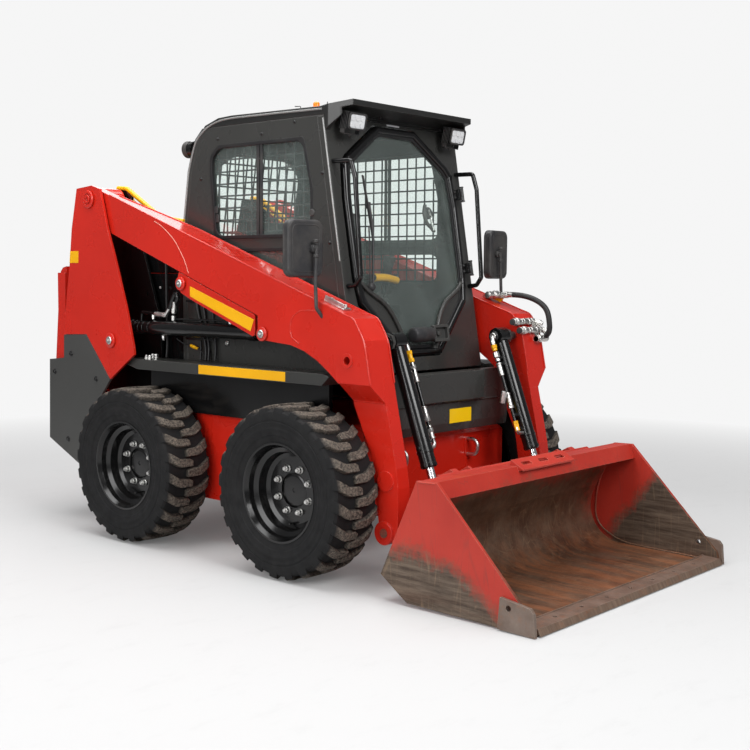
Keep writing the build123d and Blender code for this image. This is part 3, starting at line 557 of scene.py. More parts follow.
# ---- Tyres: a turned casing with a ring of lugs from each shoulder to just past the middle ----
LUG_COUNT = 24
LUG_STATIONS = [
    # across from the middle plane, top radius, root radius, lead round the tyre, half width at top
    (131.5, 354.0, 340.0, -36.0, 23.0), (125.0, 374.0, 350.0, -33.0, 23.0),
    (108.0, 383.0, 356.0, -24.0, 22.0), (70.0, 386.5, 358.0, -1.0, 21.0), (52.0, 386.5, 359.0, 6.0, 19.0),
    (-2.0, 386.5, 360.0, 8.0, 18.0), (-16.0, 386.5, 360.0, 12.0, 13.0),
]
CASING = [
    # across from the middle plane, radius
    (104, 209), (112, 216), (115, 226), (118, 240), (122, 252), (125.5, 254), (127, 262), (130, 276),
    (132, 280), (132, 286), (130, 290), (130.5, 302), (132, 305), (132, 312), (130, 315), (130, 320),
    (132, 323), (132, 329), (131.5, 342), (128, 356), (117, 365), (90, 366), (45, 367), (0, 367),
]


def add_tyre(end, side):
    """A casing with its lugs, in place of the plain CAD tyre."""
    node = f"tyre_{end}_{side}"
    centre, name = middle(node), f"tread_{end}_{side}"
    piece = Piece()
    profile = CASING[:-1] + [(-x, r) for x, r in reversed(CASING)]
    piece.turned(centre, (1, 0, 0), profile, 96, capped=False)
    across = Vector((1, 0, 0))
    for row in (1, -1):
        for i in range(LUG_COUNT):
            start = 2 * math.pi * (i + (0.5 if row < 0 else 0)) / LUG_COUNT
            rings = []
            for x, top, root, lead, width in LUG_STATIONS:
                ring = []
                for radius, spread in ((root, -width - 6), (top, -width), (top, width), (root, width + 6)):
                    angle = start + (lead + spread) / top
                    outward = Vector((0, -math.sin(angle), math.cos(angle)))
                    ring.append(centre + across * row * x * MM + outward * radius * MM)
                rings.append(ring)
            first = len(piece.points)
            piece.rings(rings)
            dusty_rings = len(rings) - 2
            piece.dusty[first:] = [0.0] * 8 + [0.0, 1.0, 1.0, 0.0] * dusty_rings  # the lug's top points
    tyre = piece.finish(name, f"wheel_{end}_{side}", "tyre", bevel=2.2, smooth=30)
    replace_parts(tyre, node)


NUT_CIRCLE_R, NUT_COUNT = 101.6, 8
DISC_X, VALVE_R = 738.0, 148.0


def add_wheel_trim(end, side):
    """Wheel nuts, hub cap, rim ring and valve."""
    centre, way = middle(f"tyre_{end}_{side}"), Vector((SIDES[side], 0, 0))
    hub = Vector((way.x * DISC_X * MM, centre.y, centre.z))
    nuts = Piece()
    for i in range(NUT_COUNT):
        turn = math.radians(360 / NUT_COUNT * (i + 0.5))
        seat = hub + Vector((0, math.cos(turn), math.sin(turn))) * NUT_CIRCLE_R * MM
        nuts.turned(seat, way, [(-1, 17), (1, 17), (4, 14.5)], 20)
        nuts.turned(seat, way, [(3, 14.6), (15, 14.6), (17, 12.5)], 6)
        nuts.turned(seat, way, [(16, 8.6), (25, 8.6), (26, 7.4)], 14)
    nuts.finish(f"wheel_nuts_{end}_{side}", f"wheel_{end}_{side}", "zinc", bevel=0.5)
    cap = Piece()
    cap.turned(hub - way * 10 * MM, way, [(0, 74), (6, 74), (9, 70), (10, 60), (10.5, 10), (7, 8)], 48)
    cap.turned(hub - way * 28 * MM, way, [(10, 128), (13, 130), (13, 122), (10, 120)], 64, capped=False)
    valve = hub + mm(0, 0, -VALVE_R)
    cap.rod(valve - way * 4 * MM, valve + way * 30 * MM, 5, 10, 1)
    cap.finish(f"hub_cap_{end}_{side}", f"wheel_{end}_{side}", "black_steel")


for end in ENDS:
    for side in SIDES:
        add_tyre(end, side)
        add_wheel_trim(end, side)


# ---- Shapes on the machine's own surfaces ----
FRONT_LEAN, FRONT_TOP = 0.169, (66.0, 1987.0)  # the cab's leaning front face, as in the CAD
CAB_X, ARM_OUT, TOWER_OUT, RAIL_OUT = 478.0, 667.0, 690.0, 655.0  # outer faces
# pin centres as (y, z), and the cylinders' middle planes
LIFT_BASE, LIFT_EYE, LIFT_X = (1395.0, 1062.0), (275.0, 1065.0), 587.0
TILT_TOP, TILT_EYE, TILT_X = (-290.0, 1043.0), (-530.0, 395.0), 396.0
ARM_PIVOT, BUCKET_PIVOT = (1574.0, 1723.0), (-395.0, 228.0)
OUT = {"left": Vector((1, 0, 0)), "right": Vector((-1, 0, 0))}
FORWARD = Vector((0, -1, 0))


def on_front(x, z, out=0.0):
    """A point at a distance out of the cab's leaning front face."""
    slope = math.hypot(1, FRONT_LEAN)
    y = FRONT_TOP[0] + FRONT_LEAN * (z - FRONT_TOP[1])
    return at(x, y - out / slope, z + out * FRONT_LEAN / slope)


FRONT_OUT = (on_front(0, 0, 1) - on_front(0, 0, 0)) / MM


def grown(outline, by):
    """A closed outline of flat points with every side moved outwards."""
    count = len(outline)
    area = sum(a[0] * b[1] - b[0] * a[1] for a, b in zip(outline, outline[1:] + outline[:1]))
    by = math.copysign(1, area) * by
    moved = []
    for i, corner in enumerate(outline):
        before = (Vector(corner) - Vector(outline[i - 1])).normalized()
        after = (Vector(outline[(i + 1) % count]) - Vector(corner)).normalized()
        normal_a, normal_b = Vector((before.y, -before.x)), Vector((after.y, -after.x))
        push = (normal_a + normal_b) / (1 + normal_a.dot(normal_b))
        moved.append(tuple(Vector(corner) + push * by))
    return moved


def spans(outline, axis, value):
    """Where a line at value on one axis crosses a closed outline, as pairs on the other axis."""
    crossings = []
    for a, b in zip(outline, outline[1:] + outline[:1]):
        if (a[axis] - value) * (b[axis] - value) < 0:
            t = (value - a[axis]) / (b[axis] - a[axis])
            crossings.append(a[1 - axis] + t * (b[1 - axis] - a[1 - axis]))
    crossings.sort()
    return list(zip(crossings[::2], crossings[1::2]))


def row_on_front(points, out):
    """Points (x, z) at a distance out of the cab's front face."""
    return [on_front(x, z, out) for x, z in points]


GUARD_PITCH, GUARD_BAR, GUARD_DEPTH = 59.0, 8.0, 4.0


def mesh_guard(piece, outline, place):
    """A square grid of flat bars inside an outline; place turns (a, b, depth) into a point."""
    for axis in (0, 1):
        values = [corner[axis] for corner in outline]
        low, high = min(values), max(values)
        count = int((high - low) / GUARD_PITCH)
        start = (low + high - count * GUARD_PITCH) / 2
        level = GUARD_DEPTH * (0.8 if axis else 0.0)
        for i in range(count + 1):
            value = start + i * GUARD_PITCH
            for a, b in spans(outline, axis, value):
                left, right = value - GUARD_BAR / 2, value + GUARD_BAR / 2
                edges = rectangle(left, a, right, b)
                flat = [edge if axis == 0 else edge[::-1] for edge in edges]
                near = [place(*point, level) for point in flat]
                piece.slab(near, place(*flat[0], level + GUARD_DEPTH) - near[0])


def loop(outline, place, radius, steps):
    """An outline's points with rounded corners, put in place."""
    return rounded_route([place(*point) for point in outline], radius, steps, closed=True)


def add_frame(piece, outline, place, edges, push, steps):
    """A flat closed frame; edges gives the growth and corner radius of its outer and inner loop."""
    outer, inner = (loop(grown(outline, by), place, radius, steps) for by, radius in edges)
    piece.rings([[a, a + push, b + push, b] for a, b in zip(outer, inner)], closed=True)


def domed_bolt(piece, centre, direction, radius):
    """A round head on its washer, with a small hexagon socket."""
    piece.turned(centre, direction, [(-1, radius * 1.5), (1.2, radius * 1.5), (1.8, radius * 1.35)], 20)
    piece.turned(centre, direction, [(1, radius), (3, radius), (5, radius * 0.75), (6, radius * 0.35)], 16)
    piece.turned(centre + Vector(direction) * 5 * MM, direction, [(0, 3.2), (1.3, 3.0)], 6)


# ---- Cab: windows, guards, bolts, lights ----
SIDE_WINDOW = [
    (150, 1300), (148, 1735), (205, 1964), (796, 1965), (853, 1917), (854, 1842), (820, 1512), (810, 1300),
]
UPPER_WINDOW = [(149, 1515), (148, 1735), (205, 1964), (796, 1965), (853, 1917), (854, 1842), (820, 1515)]
LOWER_WINDOW = [(150, 1300), (150, 1458), (816, 1458), (810, 1300)]
GUARD_X, SEAL_DEPTH = 443.0, 14.0
GUTTER = [
    # the drip rail's y and z, from the front over the roof and down the rear corner
    (88, 2084), (400, 2089), (690, 2092), (790, 2087), (884, 2060), (962, 2004), (990, 1940), (1020, 1852),
    (1060, 1584), (1060, 1400),
]
CAB_BOLTS = [(798, 2000), (483, 2002), (926, 1811), (83, 1797), (36, 1482), (262, 2040)]


def add_cab_side(side):
    """Window guard, seals, slider, bolts, rear light, and a drip rail and pillar tube painted light grey as
    highlights, on one side of the cab.
    """
    way = SIDES[side]

    def side_point(y, z, depth=0.0, x=CAB_X):
        return at(way * (x + depth), y, z)

    def guard_point(y, z, depth):
        return side_point(y, z, depth, GUARD_X)

    def seal_point(y, z):
        return side_point(y, z, -SEAL_DEPTH)

    guard = Piece()
    mesh_guard(guard, grown(SIDE_WINDOW, -4), guard_point)
    guard.finish(f"window_guard_{side}", "chassis", "black_steel", material=MATERIALS["guard"])
    seal = Piece()
    for outline in (UPPER_WINDOW, LOWER_WINDOW):
        add_frame(seal, outline, seal_point, ((5, 22), (-11, 52)), OUT[side] * 16 * MM, 8)
    seal.finish(f"window_seal_{side}", "chassis", "rubber", bevel=1.5)
    bars = Piece()
    bars.box(side_point(482, 1486.5, -12), (12, 664, 58))
    bars.finish(f"window_bar_{side}", "chassis", "charcoal_paint", bevel=2)
    slider = Piece()
    for y, width in ((498, 18), (522, 18)):
        slider.box(side_point(y, 1740, -11), (7, width, 446))
    slider.box(side_point(482, 1521, -11), (8, 660, 9))
    slider.box(side_point(500, 1957, -11), (8, 590, 9))
    for y, z, tall in ((818, 1655, 34), (808, 1612, 40), (150, 1610, 34)):
        slider.box(side_point(y, z, -7), (10, 22, tall))
    slider.turned(side_point(149, 1620, -6), OUT[side], [(0, 17), (9, 17), (12, 13)], 20)
    slider.finish(f"window_slider_{side}", "chassis", "black_plastic", bevel=2)
    bolts = Piece()
    for y, z in CAB_BOLTS:
        domed_bolt(bolts, side_point(y, z), OUT[side], 6.0)
    bolts.finish(f"cab_bolts_{side}", "chassis", "black_steel")
    # drip rail over the roof and a tube down the front pillar's edge, in light grey: painted highlights along
    # both edges
    gutter = Piece()
    gutter.bent([side_point(y, z, 1) for y, z in GUTTER], 60, 5, 8)
    gutter.tube([on_front(way * CAB_X, z, -7) for z in (1400, 1700, 2044)], 4, 8)
    gutter.finish(f"roof_gutter_highlight_{side}", "chassis", "charcoal_paint", material=MATERIALS["painted_highlight_trim"])
    lens = Piece()
    centre = at(way * 448, 1062, 1966)
    lens.turned(centre, (0, 1, 0), [(-30, 41.5), (-4, 43), (0, 43), (2, 38)], 32)
    lens.finish(f"rear_light_rim_{side}", "chassis", "black_plastic", bevel=1)
    face = Piece()
    face.turned(centre, (0, 1, 0), [(0, 34), (4, 34), (8, 24), (9, 4)], 32)
    face.finish(f"rear_light_lens_{side}", "chassis", "lamp_lens")


for side in SIDES:
    add_cab_side(side)

REAR_WINDOW = [(-300, 1500), (-310, 1880), (-200, 1960), (200, 1960), (310, 1880), (300, 1500)]


def on_rear(x, z, depth=0.0):
    """A point on the leaning rear pane, or a depth in front of it."""
    return at(x, 1055 - 70 * (z - 1500) / 460 - depth, z)


rear_guard = Piece()
mesh_guard(rear_guard, grown(REAR_WINDOW, 14), lambda x, z, depth: on_rear(x, z, depth + 12))
rear_guard.finish("window_guard_rear", "chassis", "black_steel", material=MATERIALS["guard"])
rear_seal = Piece()
seal_edges = ((8, 22), (-10, 45))
add_frame(rear_seal, REAR_WINDOW, lambda x, z: on_rear(x, z, -7), seal_edges, mm(0, SEAL_DEPTH, 0), 8)
rear_seal.finish("window_seal_rear", "chassis", "rubber", bevel=1.5)

WORK_LIGHT = (371.0, -2.0, 2034.0)
WORK_LIGHT_TILT = math.radians(12)
LIGHT_CELL = [(0, 14.5), (2.5, 14.5), (3.6, 10), (2.2, 5), (4.2, 2)]


def add_work_light(side):
    """A lamp with six cells on the roof's front edge."""
    way = SIDES[side]
    centre = at(way * WORK_LIGHT[0], *WORK_LIGHT[1:])
    turn = Matrix.Rotation(WORK_LIGHT_TILT, 3, "X")

    def spot(x, y, z):
        return centre + turn @ mm(x, y, z)

    rim = Piece()
    corners = rectangle(-57, 38, 57, -38)
    add_frame(rim, corners, lambda x, z: spot(x, -27.5, z), ((0, 16), (-7, 12)), turn @ mm(0, -8, 0), 6)
    fin = rectangle(-59, -40, 59, 40)
    for i in range(5):
        rim.slab([spot(x, -20 + 9 * i, z) for x, z in fin], turn @ mm(0, 3, 0))
    for x in (-50, 50):
        rim.box(spot(x, 6, -48), (6, 26, 30), (12, 0, 0))
    rim.box(spot(0, 6, -60), (106, 26, 5), (12, 0, 0))
    rim.bolt(spot(0, 6, -63), (0, 0, -1), 13, 7)
    rim.finish(f"work_light_rim_{side}", "chassis", "black_plastic", bevel=1.2)
    cells = Piece()
    for row in (-15, 15):
        for column in (-34, 0, 34):
            cells.turned(spot(column, -29.5, row), turn @ FORWARD, LIGHT_CELL, 20)
    back = rectangle(-52, -33, 52, 33)
    cells.slab([spot(x, -27.5, z) for x, z in back], turn @ mm(0, -2.6, 0))
    cells.finish(f"work_light_lens_{side}", "chassis", "lamp_lens")


for side in SIDES:
    add_work_light(side)

BEACON = (-432.0, 168.0)
BEACON_PROFILE = [(0, 17), (5, 17), (6, 15.5), (22, 15), (27, 11), (29, 4)]
beacon = Piece()
beacon.turned(at(*BEACON, 2098.6), (0, 0, 1), BEACON_PROFILE, 32)
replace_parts(beacon.finish("beacon_dome", "chassis", "amber_lens", smooth=50), "beacon")
roof_bits = Piece()
roof_bits.turned(at(*BEACON, 2098), (0, 0, 1), [(0, 22), (3, 22), (4, 19)], 32)
roof_bits.bent(row_at(-440, ((262, 2101), (262, 2114), (300, 2117))), 8, 2.4, 8)
roof_bits.turned(at(-430, 100, 2098), (0, 0, 1), [(0, 7), (10, 6), (12, 3), (24, 2)], 12)
ROOF_RIDGE, ROOF_FALL = (697, 2103.4), 0.006  # y and height of the roof's highest line, and its slope
for x in (-330, -110, 110, 330):
    rib = [(x + a, y, ROOF_RIDGE[1] - ROOF_FALL * abs(y - ROOF_RIDGE[0]))
           for a, y in rectangle(-9, 150, 9, 690)]
    roof_bits.slab(spots(rib), mm(0, 0, 4))
roof_bits.finish("roof_fittings", "chassis", "charcoal_paint", bevel=1.5)
header = Piece()
header.slab(row_on_front(rectangle(-46, 2048, 46, 2056), 1), FRONT_OUT * MM)
header.finish("header_label", "chassis", "lamp_lens")

# ---- Cab door: seal, inner tubes, wiper, lock and handle ----
GLASS_HALF = [(128, 2002), (340, 1856), (366, 1826), (381, 1678), (378, 1322), (362, 1218), (138, 992)]
GLASS_EDGE = GLASS_HALF + [(-x, z) for x, z in reversed(GLASS_HALF)]
INNER_TUBE = [
    (374, 1300), (345, 1272), (300, 1245), (234, 1211), (183, 1158), (145, 1090), (112, 1017), (96, 984),
]

door_seal = Piece()
seal_edges = ((6, 30), (-12, 30))
add_frame(door_seal, GLASS_EDGE, lambda x, z: on_front(x, z, 1), seal_edges, FRONT_OUT * 9 * MM, 5)
door_seal.finish("door_seal", "cab_door", "rubber", bevel=2)

door_tubes = Piece()
for way in (1, -1):
    door_tubes.bent([on_front(way * x, z, 12) for x, z in INNER_TUBE], 60, 11, 14)
door_tubes.finish("door_inner_tubes", "cab_door", "charcoal_paint")
door_infill = Piece()
for way in (1, -1):
    corner = [(way * x, z) for x, z in INNER_TUBE + [(138, 992), (362, 1218), (378, 1318)]]
    door_infill.slab([on_front(x, z, 3) for x, z in corner], FRONT_OUT * 3 * MM)
door_infill.finish("door_infill", "cab_door", "charcoal_paint")

wiper = Piece()
wiper.bent(row_on_front(((-275, 1792), (-268, 1700), (-256, 1545), (-254, 1490)), 16), 60, 3.6, 8)
wiper.slab(row_on_front(((-278, 1796), (-272, 1796), (-251, 1486), (-257, 1486)), 7), FRONT_OUT * 8 * MM)
wiper.bent(row_on_front(((-266, 1660), (-262, 1540), (-282, 1420), (-308, 1282)), 24), 60, 6, 10)
wiper.bent(row_on_front(((-282, 1560), (-296, 1440), (-322, 1290)), 20), 60, 4, 8)
wiper.turned(on_front(-309, 1280, 4), FRONT_OUT, [(0, 21), (16, 20), (24, 15), (27, 7)], 24)
wiper.box(on_front(-266, 1655, 18), (18, 14, 30))
motor = [(-38, 20), (-34, 30), (-22, 36), (60, 36), (66, 33), (106, 33)]
wiper.turned(on_front(-58, 1050, 44), (1, 0, 0), motor, 32)
wiper.box(on_front(-10, 1050, 16), (84, 40, 60), (9, 0, 0))
wiper.finish("door_wiper", "cab_door", "black_plastic", bevel=1.5, smooth=40)

lock = Piece()
lock_edge = rectangle(52, 1012, 166, 1092)
add_frame(lock, lock_edge, lambda x, z: on_front(x, z, 42), ((0, 8), (-13, 6)), FRONT_OUT * 22 * MM, 4)
lock.slab(row_on_front(rectangle(58, 1018, 160, 1086), 42), FRONT_OUT * 3 * MM)
lock.box(on_front(109, 1052, 24), (30, 40, 34), (9, 0, 0))
lock.turned(on_front(98, 1052, 45), FRONT_OUT, [(0, 13), (9, 13), (11, 10)], 20)
lock.tube([on_front(112, 1014, 30), on_front(106, 985, 16)], 9, 10)
lock.finish("door_lock", "cab_door", "black_steel", bevel=1.5, material=MATERIALS["grey_paint"])

handle = Piece()
handle.turned(on_front(226, 1650, -34), FRONT_OUT, [(0, 30), (12, 30), (15, 25), (15, 14), (6, 12)], 28)
handle.bent(row_on_front(((214, 1690), (196, 1650), (210, 1600), (246, 1576), (262, 1560)), -30), 30, 9, 12)
handle.finish("door_handle", "cab_door", "black_plastic")
handle_bar = Piece()
handle_bar.bent(row_on_front(((228, 1668), (240, 1640), (246, 1590), (252, 1566)), -24), 30, 6, 10)
handle_bar.finish("door_handle_lever", "cab_door", "zinc")

hinge_caps = Piece()
for z in (1370, 1740):
    for step in (-38, 32):
        spot = on_front(431, z, 45) + (on_front(0, z + step, 0) - on_front(0, z, 0))
        hinge_caps.turned(spot, on_front(0, 1, 0) - on_front(0, 0, 0), [(0, 10), (6, 10)], 16)
    for step in (-14, 14):
        domed_bolt(hinge_caps, on_front(402, z + step, 22), FRONT_OUT, 6)
hinge_caps.finish("door_hinge_caps", "cab_door", "black_steel", bevel=1)

# ---- Cab inside ----
GRIP = [(0, 15), (6, 27), (14, 26), (40, 24), (64, 27), (82, 31), (96, 26), (102, 12)]
GAITER = [(0, 46), (8, 44), (22, 34), (34, 36), (48, 26), (60, 28), (76, 17)]
for side, way in SIDES.items():
    grip = Piece()
    foot = at(way * 309, 378, 1322)
    grip.turned(foot, at(way * 305, 360, 1400) - foot, GRIP, 24)
    grip.box(at(way * 300, 350, 1424), (58, 46, 24), (14, 0, way * 8))
    for step in (-14, 0, 14):
        grip.turned(at(way * 300 + step, 334, 1437), (0, -0.5, 1), [(0, 6), (5, 6), (6, 4)], 12)
    grip.turned(at(way * 320, 420, 1176), (0, 0, 1), GAITER, 24)
    grip.finish(f"joystick_{side}", "chassis", "black_plastic", bevel=1.5)
display = Piece()
display.box(at(-330, 40, 1560), (90, 40, 120), (10, 0, 20))
post = spots(((-340, 60, 1500), (-352, 70, 1300), (-360, 60, 1000), (-360, 60, 900)))
display.bent(post, 60, 13, 12)
display.finish("cab_display", "chassis", "black_plastic", bevel=3)
seat_bar = Piece()
half_bar = [(330, 640, 1330), (330, 330, 1330), (250, 250, 1330), (60, 235, 1326)]
seat_bar.bent(spots(half_bar, -1) + spots(half_bar[::-1]), 70, 14, 14)
seat_bar.finish("seat_bar", "chassis", "black_steel")
bar_pad = Piece()
bar_pad.bent(spots(((56, 240, 1326), (150, 236, 1326), (236, 246, 1312))), 60, 20, 14)
bar_pad.finish("seat_bar_pad", "chassis", "yellow_paint")
for name, x, z, width, tall in (("a", 60, 1185, 60, 44), ("b", 110, 1080, 56, 60)):
    label = Piece()
    corners = rectangle(x - width / 2, z - tall / 2, x + width / 2, z + tall / 2)
    label.slab([at(a, 478, b) for a, b in corners], mm(0, -1.2, 0))
    label.finish(f"blank_plate_{name}", "chassis", "lamp_lens")

# ---- Seat: padded cushion and backrest ----
PADS = {
    # name: front and back y, low and high z, half width, thickest swelling
    "cushion": (432, 878, 1124, 1206, 230, 24),
    "backrest": (852, 922, 1228, 1634, 220, 24),
}
PAD_VOXEL, PAD_EDGE = 0.007, 0.018  # in metres
CLOTH_STEPS, CLOTH_PRESSURE = 20, 4.0
CREASE = 0.006  # depth and half width of a sewn channel, in metres
CREASE_ROWS, CREASE_COLUMNS = (-0.22, 0.02, 0.26), (-0.33, 0.33)  # shares of the pad's length and width


def add_pad(name):
    """A soft cover: a rounded block, blown out by cloth pressure and creased by its seams."""
    y0, y1, z0, z1, half, swell = PADS[name]
    centre, size = at(0, (y0 + y1) / 2, (z0 + z1) / 2), Vector((2 * half, y1 - y0, z1 - z0)) * MM
    thin = 1 if name == "backrest" else 2
    inset = Vector([swell * 0.5 * MM if axis == thin else 10 * MM for axis in range(3)])
    work = bmesh.new()
    bmesh.ops.create_cube(work, size=1.0)
    bmesh.ops.scale(work, vec=size - inset * 2, verts=work.verts)
    bmesh.ops.bevel(work, geom=work.edges[:], offset=PAD_EDGE, segments=4, profile=0.5, affect="EDGES")
    bmesh.ops.translate(work, vec=centre, verts=work.verts)
    mesh = bpy.data.meshes.new(f"seat_pad_{name}")
    work.to_mesh(mesh)
    work.free()
    pad = bpy.data.objects.new(f"seat_pad_{name}", mesh)
    bpy.context.scene.collection.objects.link(pad)
    bpy.context.view_layer.objects.active = pad
    pad.select_set(True)
    remesh = pad.modifiers.new("Remesh", "REMESH")
    remesh.mode, remesh.voxel_size = "VOXEL", PAD_VOXEL
    bpy.ops.object.modifier_apply(modifier="Remesh")
    inflate(pad, swell)
    crease(pad, centre, size, thin)
    smooth = pad.modifiers.new("Smooth", "SMOOTH")
    smooth.factor, smooth.iterations = 0.5, 3
    pad.data.polygons.foreach_set("use_smooth", [True] * len(pad.data.polygons))
    pad.data.materials.append(MATERIALS["seat_vinyl"].material)
    pad.select_set(False)
    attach(pad, "chassis")
    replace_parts(pad, f"seat_{name}")


def inflate(pad, swell):
    """Blows the covers out by cloth pressure, keeping every point within swell of its start."""
    start = [vertex.co.copy() for vertex in pad.data.vertices]
    cloth = pad.modifiers.new("Cloth", "CLOTH")
    cloth.settings.use_pressure = True
    cloth.settings.uniform_pressure_force = CLOTH_PRESSURE
    cloth.settings.effector_weights.gravity = 0.0
    cloth.point_cache.frame_start, cloth.point_cache.frame_end = 1, CLOTH_STEPS
    for step in range(1, CLOTH_STEPS + 1):
        bpy.context.scene.frame_set(step)
    blown = pad.evaluated_get(bpy.context.evaluated_depsgraph_get()).to_mesh()
    ends = [vertex.co.copy() for vertex in blown.vertices]
    pad.modifiers.remove(cloth)
    bpy.context.scene.frame_set(1)
    for vertex, a, b in zip(pad.data.vertices, start, ends):
        shift = b - a
        vertex.co = a + shift * min(1.0, swell * 0.5 * MM / max(shift.length, 1e-9))


def crease(pad, centre, size, thin):
    """Sewn channels across the cover, pressed in by a few millimetres."""
    seams = ((2 if thin == 1 else 1, CREASE_ROWS), (0, CREASE_COLUMNS))
    for vertex in pad.data.vertices:
        offset = vertex.co - centre
        if abs(offset[thin] / size[thin]) <= 0.3:
            continue
        for axis, rows in seams:
            for row in rows:
                gap = abs(offset[axis] / size[axis] - row) * size[axis]
                depth = CREASE * math.exp(-(gap / CREASE) ** 2)
                vertex.co[thin] -= math.copysign(depth, offset[thin])


for pad_name in PADS:
    add_pad(pad_name)

# ---- Arms: pin caps, strips, grip pads, welds ----
ARM_TOP_SLOPE = 0.3454
ARM_TOP_TURN = (math.degrees(math.atan(ARM_TOP_SLOPE)), 0, 0)


def arm_top(y):
    """Height of the arm's top face."""
    return 1782 - ARM_TOP_SLOPE * (1552 - y)


def pin_cap(piece_red, piece_cap, centre, direction, washer=33.0, cap=19.0):
    """A painted washer with a plated pin end and its grease nipple."""
    piece_red.turned(centre, direction, [(-2, washer), (5, washer), (7, washer - 3), (7, cap + 1)], 32,
                     capped=False)
    piece_red.turned(centre, direction, [(0, cap + 3), (9, cap + 3), (11, cap + 1), (5, cap)], 28)
    piece_cap.turned(centre, direction, [(0, cap), (12, cap), (15, cap - 3), (15.5, cap - 7), (13, 5)], 28)
    piece_cap.turned(centre + Vector(direction) * 12 * MM, direction, [(0, 5), (5, 4), (9, 2.4)], 10)


GRIP_ROWS, GRIP_STEP, GRIP_START = 22, 14, 445
ARM_PRESSING = [(-60, 1180), (40, 1180), (96, 1140), (96, 1060), (40, 1030)]
ARM_BEAD = [(1062, 1597), (1021, 1581), (970, 1551), (902, 1500), (828, 1403), (800, 1340)]


def add_arm_trim(side):
    """Pin caps, weld lines, grip pads and the pressed edge on one arm."""
    way, out = SIDES[side], OUT[side]
    red, cap = Piece(), Piece()
    pin_cap(red, cap, at(way * (ARM_OUT + 6), *LIFT_EYE), out)
    if side == "right":
        pin_cap(red, cap, at(way * (ARM_OUT + 8), 851, 1290), out)
    red.turned(at(way * 588, *BUCKET_PIVOT), out, [(0, 50), (3.4, 49), (3.4, 30)], 40, capped=False)
    red.finish(f"arm_pin_washers_{side}", "lift_arms", "red_paint", bevel=1)
    cap.finish(f"arm_pin_caps_{side}", "lift_arms", "zinc", bevel=0.8)
    welds = Piece()
    for x, rear_x in ((ARM_OUT - 2, ARM_OUT - 2), (509, 603)):
        edge = [at(way * rear_x, 1430, arm_top(1430) + 1.0)]
        edge += [at(way * x, y, arm_top(y) + 1.0) for y in (900, 300, -236)]
        edge += row_at(way * x, ((-286, 1151), (-346, 1057), (-383, 874)))
        welds.bent(edge, 40, 3.2, 8)
    welds.tube([at(way * 582, y, 790) for y in (-384, -215)], 5, 8)
    welds.finish(f"arm_weld_lines_{side}", "lift_arms", "red_paint")
    grip = Piece()
    for i in range(GRIP_ROWS):
        y = GRIP_START + GRIP_STEP * i
        for x in (545, 575, 605, 635):
            grip.box(at(way * x, y, arm_top(y) + 1), (22, 7, 3), ARM_TOP_TURN)
    grip.finish(f"arm_grip_pads_{side}", "lift_arms", "red_paint")
    emboss = Piece()
    emboss.bent(row_at(way * (ARM_OUT + 0.5), ARM_PRESSING), 50, 2.4, 8)
    emboss.finish(f"arm_edge_line_{side}", "lift_arms", "red_paint")
    bead = Piece()
    bead.bent(row_at(way * ARM_OUT, ARM_BEAD), 40, 1.7, 8)
    bead.finish(f"arm_weld_bead_{side}", "lift_arms", "red_paint", material=MATERIALS["pale_red"])


for side in SIDES:
    add_arm_trim(side)
top_bracket = Piece()
top_bracket.box(at(-600, -130, arm_top(-130) + 4), (52, 124, 8), ARM_TOP_TURN)
top_bracket.box(at(-622, -130, arm_top(-130) + 16), (6, 118, 24), ARM_TOP_TURN)
for y in (-172, -88):
    top_bracket.turned(at(-596, y, arm_top(y) + 7), (0, 0, 1), [(0, 12), (3, 12), (4, 9), (14, 9)], 6)
top_bracket.finish("arm_top_bracket", "lift_arms", "zinc", bevel=1.2)


def sticker(name, body, outline, push, material=None):
    """A thin yellow strip stuck on a face."""
    piece = Piece()
    piece.slab(outline, push)
    piece.finish(name, body, "yellow_paint", bevel=0.3, material=material)


lock_strip = row_at(-(ARM_OUT + 0.2), ((788, 1277), (788, 1229), (358, 1075), (335, 1129)))
sticker("lock_strip", "lift_arms", lock_strip, OUT["right"] * 1.4 * MM)
for side, way in SIDES.items():
    rail = row_at(way * (RAIL_OUT + 0.2), ((742, 898), (742, 854), (141, 854), (141, 898)))
    sticker(f"rail_strip_{side}", "chassis", rail, OUT[side] * 1.4 * MM)
    tower = row_at(way * (TOWER_OUT + 0.2), ((1750, 1455), (1675, 1455), (1677, 1392), (1757, 1392)))
    sticker(f"tower_sticker_{side}", "chassis", tower, OUT[side] * 1.2 * MM)
# the square on the front beam takes the brighter yellow copy, painted light on a front-facing face
beam_corners = [at(x, -262.2, z) for x, z in rectangle(36, 638, 206, 706)]
sticker("beam_square", "lift_arms", beam_corners, FORWARD * 1.4 * MM, MATERIALS["painted_light_yellow"])

MIRROR_AT, MIRROR_TURN = (714.0, -31.0, 1450.0), 8


def add_mirror(side, way):
    """A mirror's frame, its neck on the arm and its pane."""
    turn = Matrix.Rotation(math.radians(MIRROR_TURN * way), 3, "Z")
    centre = at(way * MIRROR_AT[0], *MIRROR_AT[1:])

    def spot(x, y, z):
        return centre + turn @ mm(x, y, z)

    corners = rectangle(-96, -125, 96, 125)
    rim = Piece()
    rim.tube(loop(grown(corners, -7), lambda x, z: spot(x, 14, z), 34, 6), 8.5, 10, closed=True)
    rim.tube(loop(grown(corners, -24), lambda x, z: spot(x, -20, z), 26, 6), 3, 8, closed=True)
    neck = at(way * 683, -40, 1450)
    rim.turned(neck, (0, -1, 0), [(-10, 27), (-2, 25), (2, 18), (20, 16), (22, 19), (34, 19), (36, 15)], 24)
    for z in (1418, 1482):
        rim.turned(at(way * 687, -82, z), (0, 0, 1), [(-7, 11), (-5, 13), (5, 13), (7, 11)], 20)
    rim.finish(f"mirror_frame_{side}", "lift_arms", "black_plastic", bevel=1)
    pane = Piece()
    pane.slab(loop(grown(corners, -12), lambda x, z: spot(x, 21.2, z), 26, 6), turn @ mm(0, 1.2, 0))
    pane.finish(f"mirror_pane_{side}", "lift_arms", "mirror_glass")


for side, way in SIDES.items():
    add_mirror(side, way)

